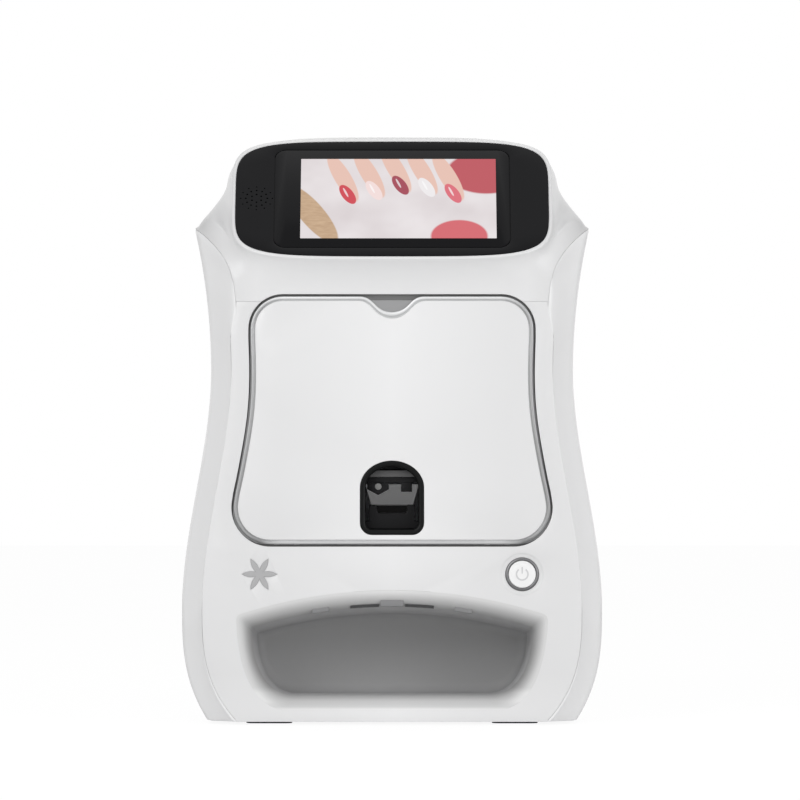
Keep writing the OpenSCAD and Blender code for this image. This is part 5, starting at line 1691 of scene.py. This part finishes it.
    def screen(self) -> None:
        """The black bezel with its speaker holes, the touch lens and the lit picture."""
        holes = [plate(self.panel[0] + 0.9, self.panel[1] + 0.9, 9.4)]
        for count, r, hole_r in ((6, 4.2, 0.75), (12, 8.5, 0.75), (12, 12.4, 0.6)):
            holes += [disc(-self.speaker_x + r * math.sin(FULL_TURN * i / count), r * math.cos(FULL_TURN * i / count),
                           hole_r, 12) for i in range(count)]
        bezel = Shape.prism([self.outline(0.0), *holes], 0.0, self.bezel_t)
        bezel.soften(0.5, 3, 60, lambda p: p.y < 0.1 and (p.x + self.speaker_x) ** 2 + p.z ** 2 > 200)
        bezel.moved(self.place).piece("screen_bezel", "housing", "glass_black", Finish.BEZEL, ["display_bezel"])
        lens = Shape.prism([plate(*self.panel, 9.0)], 0.1, 1.3).soften(0.25, 2, 60, lambda p: p.y < 0.2)
        lens.joined(Shape.prism([plate(self.panel[0] + 1.2, self.panel[1] + 1.2, 9.6)], 1.31, 1.6))
        lens.moved(self.place).piece("screen_lens", "housing", "touch_glass", Finish.LENS, ["touch_panel"])
        centre = self.place @ Vector((self.picture_x, 0, 0))
        picture = Picture(centre=tuple(centre * MM), tilt=self.tilt, size=self.picture)
        Shape.prism([plate(*self.picture, 0.4, self.picture_x)], 0.05, 0.12).moved(self.place).piece(
            "screen_picture", "housing", "touch_glass", picture.build())
        soft_copy("speaker", Finish.DARK, 0.2)
        soft_copy("display_bracket", Finish.SHEET, 0.0)
        soft_copy("lcd_module", Finish.SHEET, 0.0)


@dataclass
class Door:
    """The fold-down front door with its silver trim, liner and finger window."""

    form: Form = FORM
    gap: float = 1.8
    thick: float = 2.6
    trim_w: float = 3.3
    fit: float = 0.15
    liner_drop: float = 4.6
    hinge_recess: float = 0.5
    relief_d: float = 1.6
    relief_x: float = 99.5
    relief_run: float = 2.5
    relief_z: float = 143.4
    relief_rise: float = 0.8

    def build(self) -> None:
        """Builds every piece of the door."""
        form, gap, t = self.form, self.gap, self.thick
        panel = Shape.prism([form.on_slope(form.door_outline(gap + self.trim_w + self.fit)),
                             form.on_slope(WINDOW.outline(-self.fit))], 0.1, t)
        panel.soften(0.4, 3, 60, lambda p: p.y < 0.2).moved(form.face).piece(
            "door_front", "door", "panel_white", Finish.DOOR, ["door_panel"])
        self.trim()
        section = [(0.0, t), (0.0, 0.6), (0.25, 0.2), (0.9, 0.05), (2.4, 0.05), (3.4, 0.3), (4.1, 0.9), (4.4, 1.7),
                   (4.4, t + 2.2), (2.8, t + 2.2), (2.8, t)]
        window = swept([WINDOW.outline(o) for o, _ in section], [y for _, y in section])
        window.moved(form.face).piece("window_frame", "door", "glass_black", Finish.WINDOW, ["window_bezel"], crease=50)
        self.liner()
        soft_copy("door_magnets", Finish.SHEET, 0.2)
        soft_copy("hinge_pins", Finish.ROD, 0.0)

    def liner(self) -> None:
        """The inner door, whose top edge lies lower than the door's own."""
        shape = Shape.copy_of("door_liner").moved(self.form.face.inverted())
        top = self.form.up(self.form.door_top - self.liner_drop)
        for v in shape.bm.verts:
            v.co.z = min(v.co.z, top)
        shape.soften(0.25, 2, 50).moved(self.form.face)
        shape.piece("door_liner_soft", "door", "panel_white", Finish.INNER, ["door_liner"])

    def trim(self) -> None:
        """The silver trim: a flat bead with a fine groove inside it, thin where the hinges pass behind."""
        form, t, w = self.form, self.thick, self.trim_w
        section = [(0.0, t), (0.0, 0.5), (0.2, 0.16), (0.6, 0.0), (1.9, 0.0), (2.3, 0.12), (2.55, 0.5), (2.8, 0.75),
                   (w, 0.75), (w, t)]
        low, high = HINGE.reach()
        outlines = [self.with_bottom_points(form.door_outline(self.gap + o)) for o, _ in section]
        rings = [form.on_slope(o) for o in outlines]
        around, count = len(rings[0]), len(section)
        bottom = form.up(form.door_z + self.gap + w + 0.2)

        def place(u: float, v: float) -> Vector:
            """Point round the trim and round its section.

            Args:
                u: Share of the way round the trim.
                v: Share of the way round the section.

            Returns:
                The point, set back at the hinges and at the low corners.
            """
            i = round(v * count) % count
            p, depth = rings[i][round(u * around) % around], section[i][1]
            if p.y < bottom and low < abs(p.x) < high:
                return Vector((p.x, min(depth, self.hinge_recess + 0.3 * (i in (7, 8))), p.y))
            return Vector((p.x, max(depth, self.relief(p)), p.y))

        shape = Shape.sheet(around, count, place).weld().outward()
        shape.moved(form.face).piece("door_silver_trim", "door", "trim_silver", Finish.TRIM, ["door_trim"], crease=50)

    def relief(self, p: Vector) -> float:
        """Depth cut from the trim's low outer corners, which pass the frame's corners as the door folds down.

        Args:
            p: Point of the trim's outline, as x and place up the slope.

        Returns:
            The depth, 0 away from the corners.
        """
        near = min(max((abs(p.x) - self.relief_x) / self.relief_run, 0.0), 1.0)
        low = min(max((self.form.up(self.relief_z) - p.y) / self.relief_rise, 0.0), 1.0)
        return self.relief_d * near * low

    def with_bottom_points(self, outline: list[Vector]) -> list[Vector]:
        """Adds points along the straight bottom edge where the hinges start and end."""
        low, high = HINGE.reach()
        z = outline[0].y
        return outline + [Vector((x + e, z)) for x in (-high, -low, low, high) for e in (-0.05, 0.05)]


@dataclass
class SoftCopies:
    """An assembly whose nodes keep their own form, each with its finish and the width of its rounding."""

    soft: dict[str, tuple[Finish, float]]

    def build(self) -> None:
        """Dresses every node."""
        for node, (finish, width) in self.soft.items():
            soft_copy(node, finish, width)


@dataclass
class Engine(SoftCopies):
    """What lies inside: chassis, finger bay, two-axis print engine and electronics."""

    soft: dict[str, tuple[Finish, float]] = field(default_factory=lambda: {
        "chassis_sides": (Finish.SHEET, 0.2), "chassis_deck": (Finish.SHEET, 0.2), "chassis_back": (Finish.SHEET, 0.2),
        "chassis_bridge": (Finish.SHEET, 0.4), "rail_rods": (Finish.ROD, 0.4), "rail_brackets": (Finish.BLOCK, 0.5),
        "gantry_blocks": (Finish.BLOCK, 0.5), "gantry_bushes": (Finish.BRONZE, 0.3), "gantry_beam": (Finish.SHEET, 0.3),
        "cross_rods": (Finish.ROD, 0.4), "drive_belt": (Finish.RUBBER, 0.15), "drive_pulley": (Finish.ROD, 0.0),
        "idler_pulley": (Finish.ROD, 0.0), "carriage_motor": (Finish.BLOCK, 0.6), "gantry_motor": (Finish.BLOCK, 0.6),
        "carriage": (Finish.BLOCK, 0.5), "carriage_bushes": (Finish.BRONZE, 0.3), "carriage_latch": (Finish.LATCH, 0.4),
        "ink_cartridge": (Finish.INK, 0.6), "lead_screw": (Finish.ROD, 0.0), "finger_cradle": (Finish.BAY, 0.5),
        # finger_stop takes a painted glow.
        "finger_stop": (Finish.STOP, 0.4), "bay_walls": (Finish.SHEET, 0.2), "lamp_bar": (Finish.DIM, 0.4),
        "lamp_strip": (Finish.BAY, 0.3), "camera_bracket": (Finish.BAY, 0.25), "camera_lens": (Finish.EYE, 0.3),
        "button_spring": (Finish.ROD, 0.0), "button_board": (Finish.BOARD, 0.1), "mainboard": (Finish.BOARD, 0.0),
        "power_supply": (Finish.SHEET, 0.3)})


@dataclass
class Rear(SoftCopies):
    """The mains inlet, the rocker switch, the fan and the case screws."""

    soft: dict[str, tuple[Finish, float]] = field(default_factory=lambda: {
        "power_inlet": (Finish.DARK, 0.4), "rocker_housing": (Finish.DARK, 0.4), "power_rocker": (Finish.ROCKER, 0.4),
        "fan_frame": (Finish.DARK, 0.5), "fan_rotor": (Finish.DARK, 0.3), "case_screws": (Finish.ROD, 0.3)})


@dataclass
class Studio:
    """Floor, light and camera."""

    centre: Vector = field(default_factory=lambda: Vector((0.00624, 0.0, 0.2527)))
    away: float = 5.0
    screen_y: float = -0.135
    view_w: float = 0.624
    sensor: float = 36.0
    sky: float = 0.5
    floor_half: float = 6000.0
    floor_glow: float = 1.05
    floor_share: float = 0.88
    aim: tuple = (0.0, 0.0, 0.22)
    lamps: tuple = (("key", (-1.4, -2.6, 1.5), 1.6, 25.0), ("fill", (2.1, -2.1, 0.9), 1.8, 19.0),
                    ("top", (0.0, 0.1, 2.4), 1.6, 3.0))

    def build(self) -> None:
        """Makes the studio."""
        scene = bpy.context.scene
        scene.view_settings.view_transform = "Standard"
        self.camera()
        self.world()
        self.floor()
        for lamp in self.lamps:
            self.lamp(*lamp)

    def camera(self) -> None:
        """The camera, level and straight ahead."""
        data = bpy.data.cameras.new("camera")
        data.sensor_width = self.sensor
        data.lens = self.sensor * self.away / self.view_w
        eye = bpy.data.objects.new("camera", data)
        eye.location = (self.centre.x, self.screen_y - self.away, self.centre.z)
        eye.rotation_euler = (math.radians(90), 0, 0)
        bpy.context.scene.collection.objects.link(eye)
        bpy.context.scene.camera = eye

    def world(self) -> None:
        """White where it is seen or reflected, softer as a light."""
        world = bpy.data.worlds.new("studio")
        bpy.context.scene.world = world
        world.use_nodes = True
        tree = world.node_tree
        background = tree.nodes["Background"]
        background.inputs[0].default_value = (1.0, 1.0, 1.0, 1.0)
        path = tree.nodes.new("ShaderNodeLightPath")
        seen = tree.nodes.new("ShaderNodeMath")
        seen.operation = "MAXIMUM"
        either = tree.nodes.new("ShaderNodeMath")
        either.operation = "MAXIMUM"
        tree.links.new(path.outputs["Is Camera Ray"], seen.inputs[0])
        tree.links.new(path.outputs["Is Glossy Ray"], either.inputs[0])
        tree.links.new(path.outputs["Is Transmission Ray"], either.inputs[1])
        tree.links.new(either.outputs[0], seen.inputs[1])
        level = tree.nodes.new("ShaderNodeMapRange")
        level.inputs["To Min"].default_value = self.sky
        level.inputs["To Max"].default_value = 1.0
        tree.links.new(seen.outputs[0], level.inputs[0])
        tree.links.new(level.outputs[0], background.inputs[1])

    def floor(self) -> None:
        """A plain white floor that keeps the printer's soft shadow."""
        shape = Shape()
        bmesh.ops.create_grid(shape.bm, x_segments=1, y_segments=1, size=self.floor_half)
        bmesh.ops.scale(shape.bm, vec=(MM,) * 3, verts=shape.bm.verts[:])
        data = bpy.data.meshes.new("floor")
        shape.bm.to_mesh(data)
        shape.bm.free()
        net = Net("floor_white")
        net.feed(Base_Color=(0.9, 0.9, 0.9), Roughness=0.9)
        path = net.node("ShaderNodeLightPath", {}, {}, "Is Camera Ray")
        glow = net.node("ShaderNodeEmission", {}, {"Color": (1.0, 1.0, 1.0), "Strength": self.floor_glow})
        mixed = net.node("ShaderNodeMixShader", {}, {0: path * self.floor_share})
        output = net.tree.nodes["Material Output"]
        mixer = mixed.socket.node
        net.tree.links.new(net.shader.outputs[0], mixer.inputs[1])
        net.tree.links.new(glow.socket, mixer.inputs[2])
        net.tree.links.new(mixed.socket, output.inputs["Surface"])
        data.materials.append(net.material)
        floor = bpy.data.objects.new("floor", data)
        bpy.context.scene.collection.objects.link(floor)

    def lamp(self, name: str, at: tuple, size: float, power: float) -> None:
        """A square soft light that faces the printer.

        Args:
            name: Its name.
            at: Its place in metres.
            size: Its side in metres.
            power: Its power in watts.
        """
        data = bpy.data.lights.new(name, "AREA")
        data.size = size
        data.energy = power
        light = bpy.data.objects.new(name, data)
        light.location = at
        light.rotation_euler = (Vector(self.aim) - Vector(at)).to_track_quat("-Z", "Y").to_euler()
        bpy.context.scene.collection.objects.link(light)


def main() -> None:
    """Builds the printer and its studio."""
    logging.basicConfig(level=logging.INFO, format="%(name)s %(message)s")
    Studio().build()
    for assembly in (Housing(), HandHollow(), Head(), BUTTON, ROSETTE, Door(), Engine(), Rear()):
        LOG.info("assembly %s", type(assembly).__name__)
        assembly.build()


if __name__ == "__main__":
    main()
